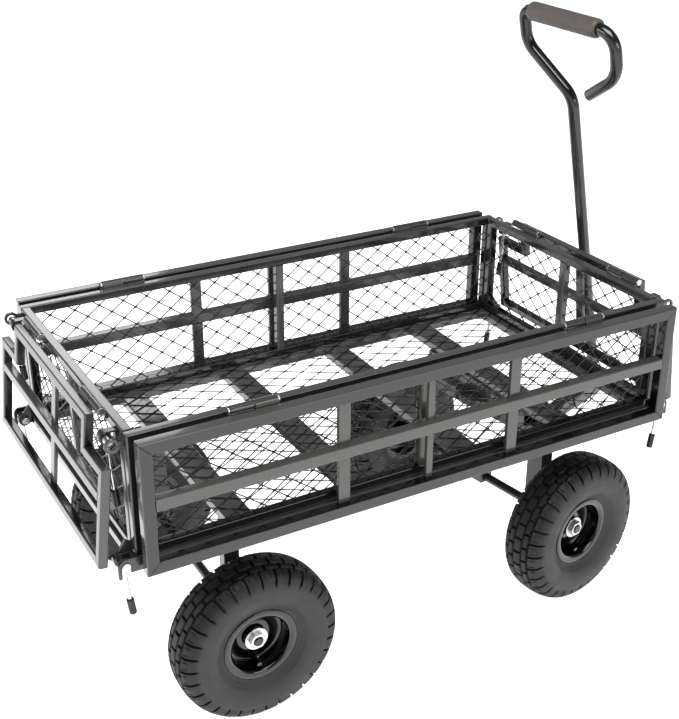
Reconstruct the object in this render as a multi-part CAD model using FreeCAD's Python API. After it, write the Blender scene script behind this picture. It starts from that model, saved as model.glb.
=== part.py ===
import FreeCAD, Part
import math
import os

# Steel mesh garden cart. Millimetres. +X is the front (handle end), +Y is the far side, +Z is up.
# The origin is on the ground under the middle of the cargo bed.

# ---- bed and deck -------------------------------------------------------------------------
BED_LENGTH = 946.0          # outside length of the side panels
BED_WIDTH = 500.0           # outside width across the two side panels
DECK_TOP = 350.0            # height of the deck frame's top face
PANEL_HEIGHT = 195.0        # side panel height above the deck
PANEL_TUBE = 15.0           # square tube of the mesh panels
DECK_TUBE_W = 30.0          # deck frame tube, width
DECK_TUBE_H = 15.0          # deck frame tube, height
DECK_OVERHANG = 4.0         # deck frame beyond the panels at each end
DECK_LEDGE = 2.0            # deck frame beyond the panels at each side
WALL = 1.5                  # tube wall
MEMBER_W = 42.0             # cross member width
MEMBER_WALL = 2.5           # cross member sheet
MEMBER_SHARE = 0.35         # inner cross members, as a share of the outer ones' distance
MEMBER_OUTER_IN = 173.0     # cross members over the axles, in from the panel end
GATE_GAP = 2.0              # gate to side panel, each side
GATE_FLOOR_GAP = 2.0        # gate above the deck

# ---- mesh ---------------------------------------------------------------------------------
MESH_T = 2.0                # sheet thickness
STRAND = 2.2                # strand width
SIDE_HALF_L = 21.3          # side diamond, half length
SIDE_HALF_H = 16.1          # side diamond, half height
FLOOR_HALF_L = 27.0         # floor diamond, half length
FLOOR_HALF_W = 17.0         # floor diamond, half width
SELVAGE = 1.2               # solid edge strip of each sheet

# ---- side racks ---------------------------------------------------------------------------
RACK_TUBE = 19.0            # square tube of the side racks
RACK_GAP = 14.0             # side panel face to rack face
RACK_DROP = 13.0            # rack's lower edge below the deck's top
RACK_SHORT = 4.0            # rack end inside the panel end
RACK_MID_RISE = 5.0         # middle rail above the rack's middle
RACK_POST_IN = 320.0        # wide posts, in from the panel end
RACK_POST_W = 20.0
RACK_POST_T = 8.0
RACK_SLAT_X = -3.0          # narrow post near the middle
RACK_SLAT_W = 12.0
SIDE_HINGE_IN = 182.0       # barrel joint of each side hinge, in from the panel end

# ---- end racks ----------------------------------------------------------------------------
END_TUBE = 15.0             # in-plane width of the end rack tube
END_DEPTH = 14.0            # depth of the end rack tube
END_TILT = 6.5              # degrees the end racks hang outward
END_TOP_IN = 80.0           # above the step, in from the side panel's face
END_BASE_IN = 7.0           # below the step, in from the side panel's face
END_STEP_DROP = 49.0        # top of the step below the panel top
END_MID_DROP = 97.0         # middle rail below the panel top
END_DROP = 8.0              # lower edge below the deck's top
END_SLAT_W = 18.0           # flat upright, flush with the rack's inner face
END_SLAT_T = 6.0
END_SLAT_Y = -8.0
END_HINGE_IN = 32.0         # barrel joint of each end hinge, in from the neck

# ---- weld-on barrel hinges ----------------------------------------------------------------
BARREL_R = 6.5
BARREL_L = 36.0
BARREL_SPLIT = 1.0          # gap between the two barrels
HINGE_PIN_R = 4.0
HINGE_CLEAR = 0.05          # running clearance on the pin radius
PIN_HEAD_R = 5.6
PIN_HEAD_T = 3.0
LEAF_T = 3.0
HINGE_RISE = 4.0            # hinge axis above the panel top

# ---- latches ------------------------------------------------------------------------------
BOLT_R = 6.0                # slide bolt
BOLT_CLEAR = 0.3            # bolt in its guides
PIVOT_OUT = 17.0            # bolt axis outside the gate's outer face
PIVOT_DROP = 4.0            # gate pivot bolts below the deck's top
UPPER_BOLT_DROP = 16.0      # upper slide bolts below the panel top
LUG_T = 6.0                 # gate lug
LUG_R = 11.0
HOOK_T = 5.0                # deck hook plate
HOOK_RIM = 5.5              # metal round the hook's slot
HOOK_NOSE = 5.0             # nose of the hook below the deck frame
GUIDE_T = 4.0               # guide plate between lug and hook
LEVER_R = 3.0               # bent rod
LEVER_UPPER_DROP = 78.0     # rod length below the upper bolt
LEVER_LOWER_DROP = 60.0     # rod length below the lower bolt
GRIP_R = 5.5
GRIP_L = 26.0
BOLT_TRAVEL = 12.0

# ---- wheels and axles ---------------------------------------------------------------------
WHEEL_R = 134.0
TYRE_HALF = 42.0
TYRE_WALL = 6.0
RIM_SEAT_R = 50.8
RIM_FLANGE_R = 61.0
RIM_HALF = 29.5
RIM_T = 2.5
RIM_WEB = -6.0              # web plane, outward from the wheel's mid plane
HUB_R = 17.0
HUB_IN = 38.0               # hub's inner end to the wheel's mid plane
HUB_OUT = 9.0               # hub's outer end, sunk in the dish
AXLE_R = 8.0
AXLE_CLEAR = 0.05           # running clearance in the hub
SEAT_CLEAR = 0.02           # axle and pin seats that do not turn
TRACK_IN = 20.0             # wheel middle plane, in from the side panel's face
REAR_AXLE_IN = 183.0        # rear axle, in from the panel end
KINGPIN_IN = 178.0          # kingpin, in from the panel end
WASHER_R = 19.5
WASHER_T = 2.5
HUB_PLAY = 0.3              # end play between hub and washer
NUT_AF = 24.0
NUT_T = 7.0
AXLE_STUB = 2.5
SEAT = 26.0                 # square block that seats the axle at each leg
SEAT_SHORT = 8.0            # seat's outer end to hub
VALVE_R = 3.9
VALVE_TURN = -91.0          # degrees round the wheel, from the front

# ---- undercarriage ------------------------------------------------------------------------
LEG_IN = 34.0               # leg centre, in from the seat's outer end
LEG_W = 26.0                # leg along the cart
LEG_T = 20.0                # rear leg across the cart
LEG_WALL = 2.5
FORK_LEG_T = 34.0           # front fork's leg across the cart
FORK_H = 25.0               # height of the fork's top bar
FORK_BLOCK_HALF = 24.0      # half width of the solid block at the kingpin
DRAWBAR_RISE = 12.0         # drawbar's root above the axle
BOLSTER_H = 25.0
TURNTABLE_R = 50.0
TURNTABLE_T = 6.0
TURNTABLE_GAP = 0.4
KINGPIN_R = 8.0
KINGPIN_CLEAR = 0.05
STEER_REST = 9.2            # degrees the front axle is turned at rest

# ---- drawbar and handle -------------------------------------------------------------------
DRAWBAR = 25.0
HANDLE_REACH = 323.6        # kingpin to handle pivot
HANDLE_Z = 225.0
HANDLE_LEAN = 13.4          # degrees the handle leans back over the bed at rest
HANDLE_R = 10.5
HANDLE_WALL = 2.0
HANDLE_PIN_R = 5.0
PIN_CLEAR = 0.05
CLEVIS_T = 4.0
CLEVIS_GAP = 2.0
SHAFT_TOP = 618.0           # shaft length from pivot to first bend
LOOP_NEAR = 97.0            # closed side of the loop, from the shaft
LOOP_FAR = 102.5            # open side
LOOP_SHOULDER = 702.0
LOOP_TOP = 763.0
LOOP_SLANT = 14.0           # the open side of the loop sits this much lower
LOOP_END = (-38.0, 629.0)
LOOP_RADII = (45.0, 45.0, 16.0, 35.0, 50.0)
LOOP_SHOULDER_2 = 672.0
FOAM_R = 16.5
FOAM_FROM = 79.5
FOAM_TO = -69.0
FOAM_CLEAR = 0.1

# ---- derived ------------------------------------------------------------------------------
PX = BED_LENGTH / 2                       # panel end
PY = BED_WIDTH / 2                        # panel outer face
PANEL_TOP = DECK_TOP + PANEL_HEIGHT
DX = PX + DECK_OVERHANG                   # deck end
DY = PY + DECK_LEDGE                      # deck side
DECK_BOTTOM = DECK_TOP - DECK_TUBE_H
PANEL_IN_Y = PY - PANEL_TUBE
GATE_HALF = PANEL_IN_Y - GATE_GAP
GATE_IN_X = PX - PANEL_TUBE
RACK_IN_Y = PY + RACK_GAP
RACK_OUT_Y = RACK_IN_Y + RACK_TUBE
HINGE_Z = PANEL_TOP + HINGE_RISE
SIDE_HINGE_Y = PY + RACK_GAP / 2
END_HINGE_X = PX + BARREL_R + 1.0
PIVOT_X = PX + PIVOT_OUT
AXLE_Z = WHEEL_R
RACK_BOTTOM = DECK_TOP - RACK_DROP
RACK_END = PX - RACK_SHORT
RACK_MID_Z = (RACK_BOTTOM + PANEL_TOP) / 2 + RACK_MID_RISE
RACK_POST_X = PX - RACK_POST_IN
SIDE_HINGE_X = PX - SIDE_HINGE_IN
END_HALF_TOP = PY - END_TOP_IN
END_HALF_BASE = PY - END_BASE_IN
END_STEP_Z = PANEL_TOP - END_STEP_DROP
END_MID_Z = PANEL_TOP - END_MID_DROP
END_BOTTOM = DECK_TOP - END_DROP
END_HINGE_Y = END_HALF_TOP - END_HINGE_IN
PIVOT_Z = DECK_TOP - PIVOT_DROP
UPPER_BOLT_Z = PANEL_TOP - UPPER_BOLT_DROP
TRACK_HALF = PY - TRACK_IN
REAR_AXLE_X = REAR_AXLE_IN - PX
KINGPIN_X = PX - KINGPIN_IN
SEAT_END = TRACK_HALF - HUB_IN - SEAT_SHORT
LEG_Y = SEAT_END - LEG_IN
BOLSTER_Z1 = DECK_BOTTOM
BOLSTER_Z0 = BOLSTER_Z1 - BOLSTER_H
FORK_Z1 = BOLSTER_Z0 - 2 * TURNTABLE_T - TURNTABLE_GAP
FORK_Z0 = FORK_Z1 - FORK_H
MEMBER_OUTER_X = PX - MEMBER_OUTER_IN
MEMBER_INNER_X = MEMBER_OUTER_X * MEMBER_SHARE
AXLE_END = TRACK_HALF + HUB_OUT + WASHER_T + NUT_T + AXLE_STUB

V = FreeCAD.Vector


def box(x0, x1, y0, y1, z0, z1):
    """Box between opposite corners, given in any order."""
    xs = sorted((x0, x1))
    ys = sorted((y0, y1))
    zs = sorted((z0, z1))
    return Part.makeBox(xs[1] - xs[0], ys[1] - ys[0], zs[1] - zs[0], V(xs[0], ys[0], zs[0]))


def rod(r, a, b):
    """Round bar of radius r from point a to point b."""
    a = V(*a)
    b = V(*b)
    return Part.makeCylinder(r, (b - a).Length, a, b - a)


def tube(r, bore, a, b):
    """Round tube from a to b."""
    return rod(r, a, b).cut(rod(bore, a, b))


def prism(points, depth0, depth1, plane):
    """Polygon in a plane, extruded between two depths. plane is XZ, YZ or XY."""
    place = {
        "XZ": lambda u, v, d: V(u, d, v),
        "YZ": lambda u, v, d: V(d, u, v),
        "XY": lambda u, v, d: V(u, v, d),
    }[plane]
    ring = [place(u, v, depth0) for u, v in points]
    face = Part.Face(Part.makePolygon(ring + ring[:1]))
    return face.extrude(place(0, 0, depth1) - place(0, 0, depth0))


def rail(u0, u1, v0, v1, d0, d1, plane, cut0=(0, 0), cut1=(0, 0), upright=False):
    """Hollow square tube. It runs along u from u0 to u1 and fills v0 to v1 and d0 to d1.
    cut0 and cut1 shorten its ends at v0 and at v1, which makes a mitre. upright swaps u and v."""
    def outline(inset):
        k0 = inset / (v1 - v0)
        k1 = 1 - k0
        near = [cut0[0] + (cut0[1] - cut0[0]) * k for k in (k0, k1)]
        far = [cut1[0] + (cut1[1] - cut1[0]) * k for k in (k0, k1)]
        pts = [(u0 + near[0], v0 + inset), (u1 - far[0], v0 + inset),
               (u1 - far[1], v1 - inset), (u0 + near[1], v1 - inset)]
        return [(v, u) for u, v in pts] if upright else pts
    side = WALL if d1 > d0 else -WALL
    outer = prism(outline(0), d0, d1, plane)
    return outer.cut(prism(outline(WALL), d0 + side, d1 - side, plane))


def frame_rails(u, v0, v1, w, d0, d1, plane):
    """Four mitred tubes round a rectangle of half length u between v0 and v1."""
    return [
        rail(-u, u, v0, v0 + w, d0, d1, plane, (0, w), (0, w)),
        rail(-u, u, v1 - w, v1, d0, d1, plane, (w, 0), (w, 0)),
        rail(v0, v1, -u, -u + w, d0, d1, plane, (0, w), (0, w), True),
        rail(v0, v1, u - w, u, d0, d1, plane, (w, 0), (w, 0), True),
    ]


def turned(shape, angle, centre, axis):
    """Copy of a shape turned about an axis."""
    out = shape.copy()
    out.rotate(V(*centre), V(*axis), angle)
    return out


def mirrored(shape, axis):
    """Copy of a shape mirrored across the plane through the origin, normal to axis."""
    return shape.mirror(V(0, 0, 0), V(*axis))


def clip(poly, u0, u1, v0, v1):
    """Convex polygon cut down to a rectangle."""
    for axis, limit, keep_low in ((0, u0, False), (0, u1, True), (1, v0, False), (1, v1, True)):
        out = []
        for i, p in enumerate(poly):
            q = poly[(i + 1) % len(poly)]
            p_in = p[axis] <= limit if keep_low else p[axis] >= limit
            q_in = q[axis] <= limit if keep_low else q[axis] >= limit
            if p_in:
                out.append(p)
            if p_in != q_in:
                t = (limit - p[axis]) / (q[axis] - p[axis])
                out.append((p[0] + t * (q[0] - p[0]), p[1] + t * (q[1] - p[1])))
        poly = out
        if not poly:
            return []
    return poly


def area(poly):
    """Area of a polygon."""
    total = 0
    for i, p in enumerate(poly):
        q = poly[(i + 1) % len(poly)]
        total += p[0] * q[1] - q[0] * p[1]
    return abs(total) / 2


def mesh_sheet(u0, u1, v0, v1, depth, plane, half_u, half_v, phase_u=0.0, phase_v=0.0):
    """Flat expanded-metal sheet: a rectangle with rows of diamond holes."""
    place = {
        "XZ": lambda u, v: V(u, depth, v),
        "YZ": lambda u, v: V(depth, u, v),
        "XY": lambda u, v: V(u, v, depth),
    }[plane]
    normal = {"XZ": V(0, MESH_T, 0), "YZ": V(MESH_T, 0, 0), "XY": V(0, 0, MESH_T)}[plane]
    reach = half_u * half_v / math.hypot(half_u, half_v)
    k = (reach - STRAND / 2) / reach
    wires = []
    corners = [(u0, v0), (u1, v0), (u1, v1), (u0, v1)]
    wires.append(Part.makePolygon([place(*p) for p in corners + corners[:1]]))
    rows = int((v1 - v0) / half_v) + 3
    cols = int((u1 - u0) / half_u) + 3
    mid_u = (u0 + u1) / 2 + phase_u
    mid_v = (v0 + v1) / 2 + phase_v
    for i in range(-cols, cols + 1):
        for j in range(-rows, rows + 1):
            if (i + j) % 2:
                continue
            cu = mid_u + i * half_u
            cv = mid_v + j * half_v
            hole = [(cu - k * half_u, cv), (cu, cv - k * half_v),
                    (cu + k * half_u, cv), (cu, cv + k * half_v)]
            hole = clip(hole, u0 + SELVAGE, u1 - SELVAGE, v0 + SELVAGE, v1 - SELVAGE)
            clean = []
            for p in hole:
                if not clean or math.dist(p, clean[-1]) > 0.01:
                    clean.append(p)
            if len(clean) > 2 and math.dist(clean[0], clean[-1]) <= 0.01:
                clean.pop()
            if len(clean) < 3 or area(clean) < 12:
                continue
            wires.append(Part.makePolygon([place(*p) for p in clean + clean[:1]]))
    return Part.Face(wires).extrude(normal)


def hex_bar(across, a, b):
    """Hexagonal bar along Y from y=a to y=b, centred on the origin."""
    r = across / math.sqrt(3)
    pts = [(r * math.cos(math.radians(60 * i)), r * math.sin(math.radians(60 * i)))
           for i in range(6)]
    return prism(pts, a, b, "XZ")


def moved(shape, x=0.0, y=0.0, z=0.0):
    """Copy of a shape moved by a distance along each axis."""
    out = shape.copy()
    out.translate(V(x, y, z))
    return out


def save(node, solids):
    """Write one node. Its solids stay separate."""
    flat = []
    for s in solids:
        flat.extend(s.Solids)
    for s in flat:
        if s.Volume < 0:
            s.reverse()
    shape = flat[0] if len(flat) == 1 else Part.makeCompound(flat)
    shape.exportStep("parts/" + node + ".step")


# ---- chassis ------------------------------------------------------------------------------

def deck_frame():
    """Four flat tubes round the deck, butted at the corners."""
    out = []
    for s in (-1, 1):
        out.append(rail(-DX, DX, DECK_BOTTOM, DECK_TOP, s * (DY - DECK_TUBE_W), s * DY, "XZ"))
        out.append(rail(-(DY - DECK_TUBE_W), DY - DECK_TUBE_W, DECK_BOTTOM, DECK_TOP,
                        s * (DX - DECK_TUBE_W), s * DX, "YZ"))
    return out


def cross_members():
    """Channels with their flanges down, between the side tubes of the deck."""
    out = []
    half = DY - DECK_TUBE_W
    for x in (-MEMBER_OUTER_X, -MEMBER_INNER_X, MEMBER_INNER_X, MEMBER_OUTER_X):
        c = box(x - MEMBER_W / 2, x + MEMBER_W / 2, -half, half, DECK_BOTTOM, DECK_TOP)
        hollow = MEMBER_W / 2 - MEMBER_WALL
        c = c.cut(box(x - hollow, x + hollow, -half, half, DECK_BOTTOM, DECK_TOP - MEMBER_WALL))
        out.append(c)
    return out


def floor_mesh():
    return [mesh_sheet(-GATE_IN_X, GATE_IN_X, -PANEL_IN_Y, PANEL_IN_Y, DECK_TOP, "XY",
                       FLOOR_HALF_L, FLOOR_HALF_W)]


def hinge_leaf(x0, x1, y_flat, y_axis, z_axis):
    """Barrel along X with a weld leaf from the axis to a flat face at y_flat."""
    leaf = box(x0, x1, y_flat, y_flat + math.copysign(LEAF_T, y_axis - y_flat),
               z_axis - HINGE_RISE - 9.0, z_axis)
    barrel = rod(BARREL_R, (x0, y_axis, z_axis), (x1, y_axis, z_axis))
    bore = rod(HINGE_PIN_R + HINGE_CLEAR, (x0, y_axis, z_axis), (x1, y_axis, z_axis))
    return leaf.fuse(barrel).cut(bore).removeSplitter()


def keeper_eyes(s):
    """Round eyes on a side panel's ends that take the upper bolts when they are pushed home."""
    out = []
    r = BOLT_R + BOLT_CLEAR
    for e in (-1, 1):
        x = e * PIVOT_X
        y0 = s * (PANEL_IN_Y + 2.0)
        y1 = s * (PANEL_IN_Y + 6.0)
        eye = rod(LUG_R, (x, y0, UPPER_BOLT_Z), (x, y1, UPPER_BOLT_Z))
        eye = eye.fuse(box(e * PX, x, y0, y1, UPPER_BOLT_Z - 6.0, UPPER_BOLT_Z + 6.0))
        out.append(eye.cut(rod(r, (x, y0, UPPER_BOLT_Z), (x, y1, UPPER_BOLT_Z))).removeSplitter())
    return out


def side_panel(side):
    """Fixed side panel: four mitred tubes, a middle post, two weld-on barrels and two eyes."""
    d0 = side * PANEL_IN_Y
    d1 = side * PY
    out = frame_rails(PX, DECK_TOP, PANEL_TOP, PANEL_TUBE, d0, d1, "XZ")
    half = PANEL_TUBE / 2
    out.append(rail(DECK_TOP + PANEL_TUBE, PANEL_TOP - PANEL_TUBE, -half, half, d0, d1, "XZ",
                    upright=True))
    for s in (-1, 1):
        x0 = s * SIDE_HINGE_X - BARREL_SPLIT / 2
        out.append(hinge_leaf(x0 - BARREL_L, x0, side * PY, side * SIDE_HINGE_Y, HINGE_Z))
    return out + keeper_eyes(side)


def side_mesh(side):
    """Mesh of one side panel, in two sheets that meet the middle post."""
    out = []
    z0 = DECK_TOP + PANEL_TUBE
    z1 = PANEL_TOP - PANEL_TUBE
    depth = side * (PY - PANEL_TUBE / 2) - MESH_T / 2
    for s in (-1, 1):
        ends = sorted((s * PANEL_TUBE / 2, s * GATE_IN_X))
        out.append(mesh_sheet(ends[0], ends[1], z0, z1, depth, "XZ", SIDE_HALF_L, SIDE_HALF_H))
    return out


def pin(a, b):
    """Hinge pin from a to b with a round head at each end."""
    a = V(*a)
    b = V(*b)
    step = (b - a).normalize() * PIN_HEAD_T
    p = rod(HINGE_PIN_R, tuple(a - step), tuple(b + step))
    p = p.fuse(rod(PIN_HEAD_R, tuple(a - step), tuple(a - step * 0.1)))
    p = p.fuse(rod(PIN_HEAD_R, tuple(b + step * 0.1), tuple(b + step)))
    return p.removeSplitter()


def side_hinge_pins():
    out = []
    reach = BARREL_L + BARREL_SPLIT / 2
    for side in (-1, 1):
        for s in (-1, 1):
            x = s * SIDE_HINGE_X
            out.append(pin((x - reach, side * SIDE_HINGE_Y, HINGE_Z),
                           (x + reach, side * SIDE_HINGE_Y, HINGE_Z)))
    return out


def hook_plate(end, side):
    """Deck corner hook: a round-topped plate whose slot opens downward over the pivot bolt."""
    r = BOLT_R + BOLT_CLEAR
    outer = r + HOOK_RIM
    x = end * PIVOT_X
    tip = x + end * (r + HOOK_RIM / 2)
    y0 = side * DY
    y1 = side * (DY + HOOK_T)
    low = DECK_BOTTOM - HOOK_NOSE
    plate = rod(outer, (x, y0, PIVOT_Z), (x, y1, PIVOT_Z))
    plate = plate.fuse(box(end * (DX - 14.0), x, y0, y1, DECK_BOTTOM, PIVOT_Z + outer))
    plate = plate.fuse(box(x, x + end * outer, y0, y1, low, PIVOT_Z))
    plate = plate.fuse(rod(HOOK_RIM / 2, (tip, y0, low), (tip, y1, low)))
    plate = plate.cut(rod(r, (x, y0, PIVOT_Z), (x, y1, PIVOT_Z)))
    plate = plate.cut(box(x - r, x + r, y0, y1, low - HOOK_RIM, PIVOT_Z))
    return plate.removeSplitter()


def corner_hooks():
    return [hook_plate(e, s) for e in (-1, 1) for s in (-1, 1)]


def bolt_guides():
    """Round-nosed plates on the deck's ends that carry the pivot bolts."""
    out = []
    r = BOLT_R + BOLT_CLEAR
    for e in (-1, 1):
        for s in (-1, 1):
            x = e * PIVOT_X
            y0 = s * (GATE_HALF + 1.0)
            y1 = s * (GATE_HALF + 1.0 + GUIDE_T)
            plate = box(e * DX, x, y0, y1, DECK_BOTTOM, PIVOT_Z + LUG_R)
            plate = plate.fuse(rod(LUG_R, (x, y0, PIVOT_Z), (x, y1, PIVOT_Z)))
            out.append(plate.cut(rod(r, (x, y0, PIVOT_Z), (x, y1, PIVOT_Z))).removeSplitter())
    return out


def legs(x, leg_t, z1):
    """A pair of upright tube legs standing on the axle seats."""
    out = []
    z0 = AXLE_Z + SEAT / 2
    w, d = LEG_W / 2, leg_t / 2
    for s in (-1, 1):
        y = s * LEG_Y
        bore = box(x - w + LEG_WALL, x + w - LEG_WALL, y - d + LEG_WALL, y + d - LEG_WALL, z0, z1)
        out.append(box(x - w, x + w, y - d, y + d, z0, z1).cut(bore))
    return out


def axle_seats(leg_t):
    """Bored blocks under the legs that hold an axle along Y through the origin."""
    out = []
    half = SEAT / 2
    for s in (-1, 1):
        y0, y1 = s * (LEG_Y - leg_t / 2), s * SEAT_END
        bore = rod(AXLE_R + SEAT_CLEAR, (0, y0, 0), (0, y1, 0))
        out.append(box(-half, half, y0, y1, -half, half).cut(bore))
    return out


def axle_nuts():
    """Washer and nut outside each wheel, on an axle along Y through the origin."""
    out = []
    y0 = TRACK_HALF + HUB_OUT
    w0 = y0 + HUB_PLAY
    n0 = w0 + WASHER_T
    bore = AXLE_R + SEAT_CLEAR
    for s in (-1, 1):
        out.append(tube(WASHER_R, bore, (0, s * w0, 0), (0, s * n0, 0)))
        nut = hex_bar(NUT_AF, s * n0, s * (n0 + NUT_T))
        out.append(nut.cut(rod(bore, (0, s * n0, 0), (0, s * (n0 + NUT_T), 0))))
    return out


def axle_rod():
    bar = rod(AXLE_R, (0, -AXLE_END, 0), (0, AXLE_END, 0))
    return bar.makeChamfer(1.5, [e for e in bar.Edges if abs(e.BoundBox.YLength) < 0.01])


def front_bolster():
    """Tube under the deck's front member with the upper turntable plate."""
    half = LEG_Y
    b = box(KINGPIN_X - MEMBER_W / 2, KINGPIN_X + MEMBER_W / 2, -half, half, BOLSTER_Z0, BOLSTER_Z1)
    inner = MEMBER_W / 2 - 2.5
    b = b.cut(box(KINGPIN_X - inner, KINGPIN_X + inner, -half, half, BOLSTER_Z0 + 2.5, BOLSTER_Z1 - 2.5))
    seat = KINGPIN_R + SEAT_CLEAR
    b = b.cut(rod(seat, (KINGPIN_X, 0, BOLSTER_Z0), (KINGPIN_X, 0, BOLSTER_Z0 + 2.5)))
    plate = tube(TURNTABLE_R, seat, (KINGPIN_X, 0, BOLSTER_Z0 - TURNTABLE_T),
                 (KINGPIN_X, 0, BOLSTER_Z0))
    return [b, plate]


def kingpin():
    """Kingpin with its head in the bolster. Its foot stands below the fork."""
    p = rod(KINGPIN_R, (KINGPIN_X, 0, FORK_Z0 - 8.0), (KINGPIN_X, 0, BOLSTER_Z0 + 2.5))
    head = rod(KINGPIN_R + 5.0, (KINGPIN_X, 0, BOLSTER_Z0 + 2.5), (KINGPIN_X, 0, BOLSTER_Z0 + 10.5))
    return [p.fuse(head).removeSplitter()]


# ---- side racks ---------------------------------------------------------------------------

def side_rack(side):
    """Fold-up outer frame of one side, hung from two barrels."""
    d0 = side * RACK_IN_Y
    d1 = side * RACK_OUT_Y
    top = PANEL_TOP
    out = frame_rails(RACK_END, RACK_BOTTOM, top, RACK_TUBE, d0, d1, "XZ")
    m0 = RACK_MID_Z - RACK_TUBE / 2
    m1 = RACK_MID_Z + RACK_TUBE / 2
    end = RACK_END - RACK_TUBE
    out.append(rail(-end, end, m0, m1, d0, d1, "XZ"))
    back = side * (RACK_IN_Y + RACK_POST_T)
    posts = [(-RACK_POST_X, RACK_POST_W), (RACK_SLAT_X, RACK_SLAT_W), (RACK_POST_X, RACK_POST_W)]
    for x, w in posts:
        for z0, z1 in ((RACK_BOTTOM + RACK_TUBE, m0), (m1, top - RACK_TUBE)):
            out.append(rail(z0, z1, x - w / 2, x + w / 2, d0, back, "XZ", upright=True))
    for s in (-1, 1):
        x0 = s * SIDE_HINGE_X + BARREL_SPLIT / 2
        out.append(hinge_leaf(x0, x0 + BARREL_L, side * RACK_IN_Y, side * SIDE_HINGE_Y, HINGE_Z))
    return out


# ---- end gates (built for the front, mirrored for the rear) --------------------------------

def end_leaf(y0, y1, x_flat):
    """Barrel along Y with a weld leaf to a flat face at x_flat."""
    leaf = box(x_flat, x_flat + math.copysign(LEAF_T, END_HINGE_X - x_flat), y0, y1,
               HINGE_Z - HINGE_RISE - 9.0, HINGE_Z)
    barrel = rod(BARREL_R, (END_HINGE_X, y0, HINGE_Z), (END_HINGE_X, y1, HINGE_Z))
    bore = rod(HINGE_PIN_R + HINGE_CLEAR, (END_HINGE_X, y0, HINGE_Z), (END_HINGE_X, y1, HINGE_Z))
    return leaf.fuse(barrel).cut(bore).removeSplitter()


def gate_frame():
    """End gate: mitred tubes, a middle post, two hinge barrels and two pivot lugs."""
    z0 = DECK_TOP + GATE_FLOOR_GAP
    out = frame_rails(GATE_HALF, z0, PANEL_TOP, PANEL_TUBE, GATE_IN_X, PX, "YZ")
    half = PANEL_TUBE / 2
    out.append(rail(z0 + PANEL_TUBE, PANEL_TOP - PANEL_TUBE, -half, half, GATE_IN_X, PX, "YZ",
                    upright=True))
    for s in (-1, 1):
        y0 = s * END_HINGE_Y - BARREL_SPLIT / 2
        out.append(end_leaf(y0 - BARREL_L, y0, PX))
        y0 = s * (GATE_HALF - LUG_T)
        y1 = s * GATE_HALF
        pts = [(PX, z0 + 1.0), (PX, z0 + 30.0), (PX + 6.0, z0 + 30.0),
               (PIVOT_X + LUG_R * 0.95, PIVOT_Z + 3.0), (PIVOT_X, PIVOT_Z - 2.0),
               (PIVOT_X - LUG_R * 0.75, PIVOT_Z + 5.0)]
        lug = prism(pts, y0, y1, "XZ").fuse(rod(LUG_R, (PIVOT_X, y0, PIVOT_Z), (PIVOT_X, y1, PIVOT_Z)))
        r = BOLT_R + BOLT_CLEAR
        out.append(lug.cut(rod(r, (PIVOT_X, y0, PIVOT_Z), (PIVOT_X, y1, PIVOT_Z))).removeSplitter())
    return out


def gate_mesh():
    out = []
    z0 = DECK_TOP + GATE_FLOOR_GAP + PANEL_TUBE
    z1 = PANEL_TOP - PANEL_TUBE
    depth = PX - PANEL_TUBE / 2 - MESH_T / 2
    for s in (-1, 1):
        ends = sorted((s * PANEL_TUBE / 2, s * (GATE_HALF - PANEL_TUBE)))
        out.append(mesh_sheet(ends[0], ends[1], z0, z1, depth, "YZ", SIDE_HALF_L, SIDE_HALF_H))
    return out


def gate_pins():
    out = []
    reach = BARREL_L + BARREL_SPLIT / 2
    for s in (-1, 1):
        y = s * END_HINGE_Y
        out.append(pin((END_HINGE_X, y - reach, HINGE_Z), (END_HINGE_X, y + reach, HINGE_Z)))
    return out


STRAP_T = 3.0
STRAP_W = 12.0
LEVER_SPACE = 1.5                                     # lever to strap
UPPER_LEVER_Y = GATE_HALF - BOLT_TRAVEL - 1.5         # lever stays inside the gate's edge
STRAP_Y1 = UPPER_LEVER_Y - LEVER_R - LEVER_SPACE
STRAP_Y0 = STRAP_Y1 - STRAP_W
LOWER_LEVER_Y = DY - LEVER_R - 2.0                    # lever hangs just inside the hook plate


def latch_straps():
    """Bent straps that carry the upper slide bolts outside the gate."""
    out = []
    r = BOLT_R + BOLT_CLEAR
    ro = r + STRAP_T
    for s in (-1, 1):
        y0 = s * STRAP_Y0
        y1 = s * STRAP_Y1
        ring = tube(ro, r, (PIVOT_X, y0, UPPER_BOLT_Z), (PIVOT_X, y1, UPPER_BOLT_Z))
        arm = box(PX, PIVOT_X, y0, y1, UPPER_BOLT_Z + r, UPPER_BOLT_Z + ro)
        foot = box(PX, PX + STRAP_T, y0, y1, UPPER_BOLT_Z - 12.0, UPPER_BOLT_Z + ro)
        out.append(ring.fuse(arm).fuse(foot).cut(
            rod(r, (PIVOT_X, y0, UPPER_BOLT_Z), (PIVOT_X, y1, UPPER_BOLT_Z))).removeSplitter())
    return out


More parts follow.
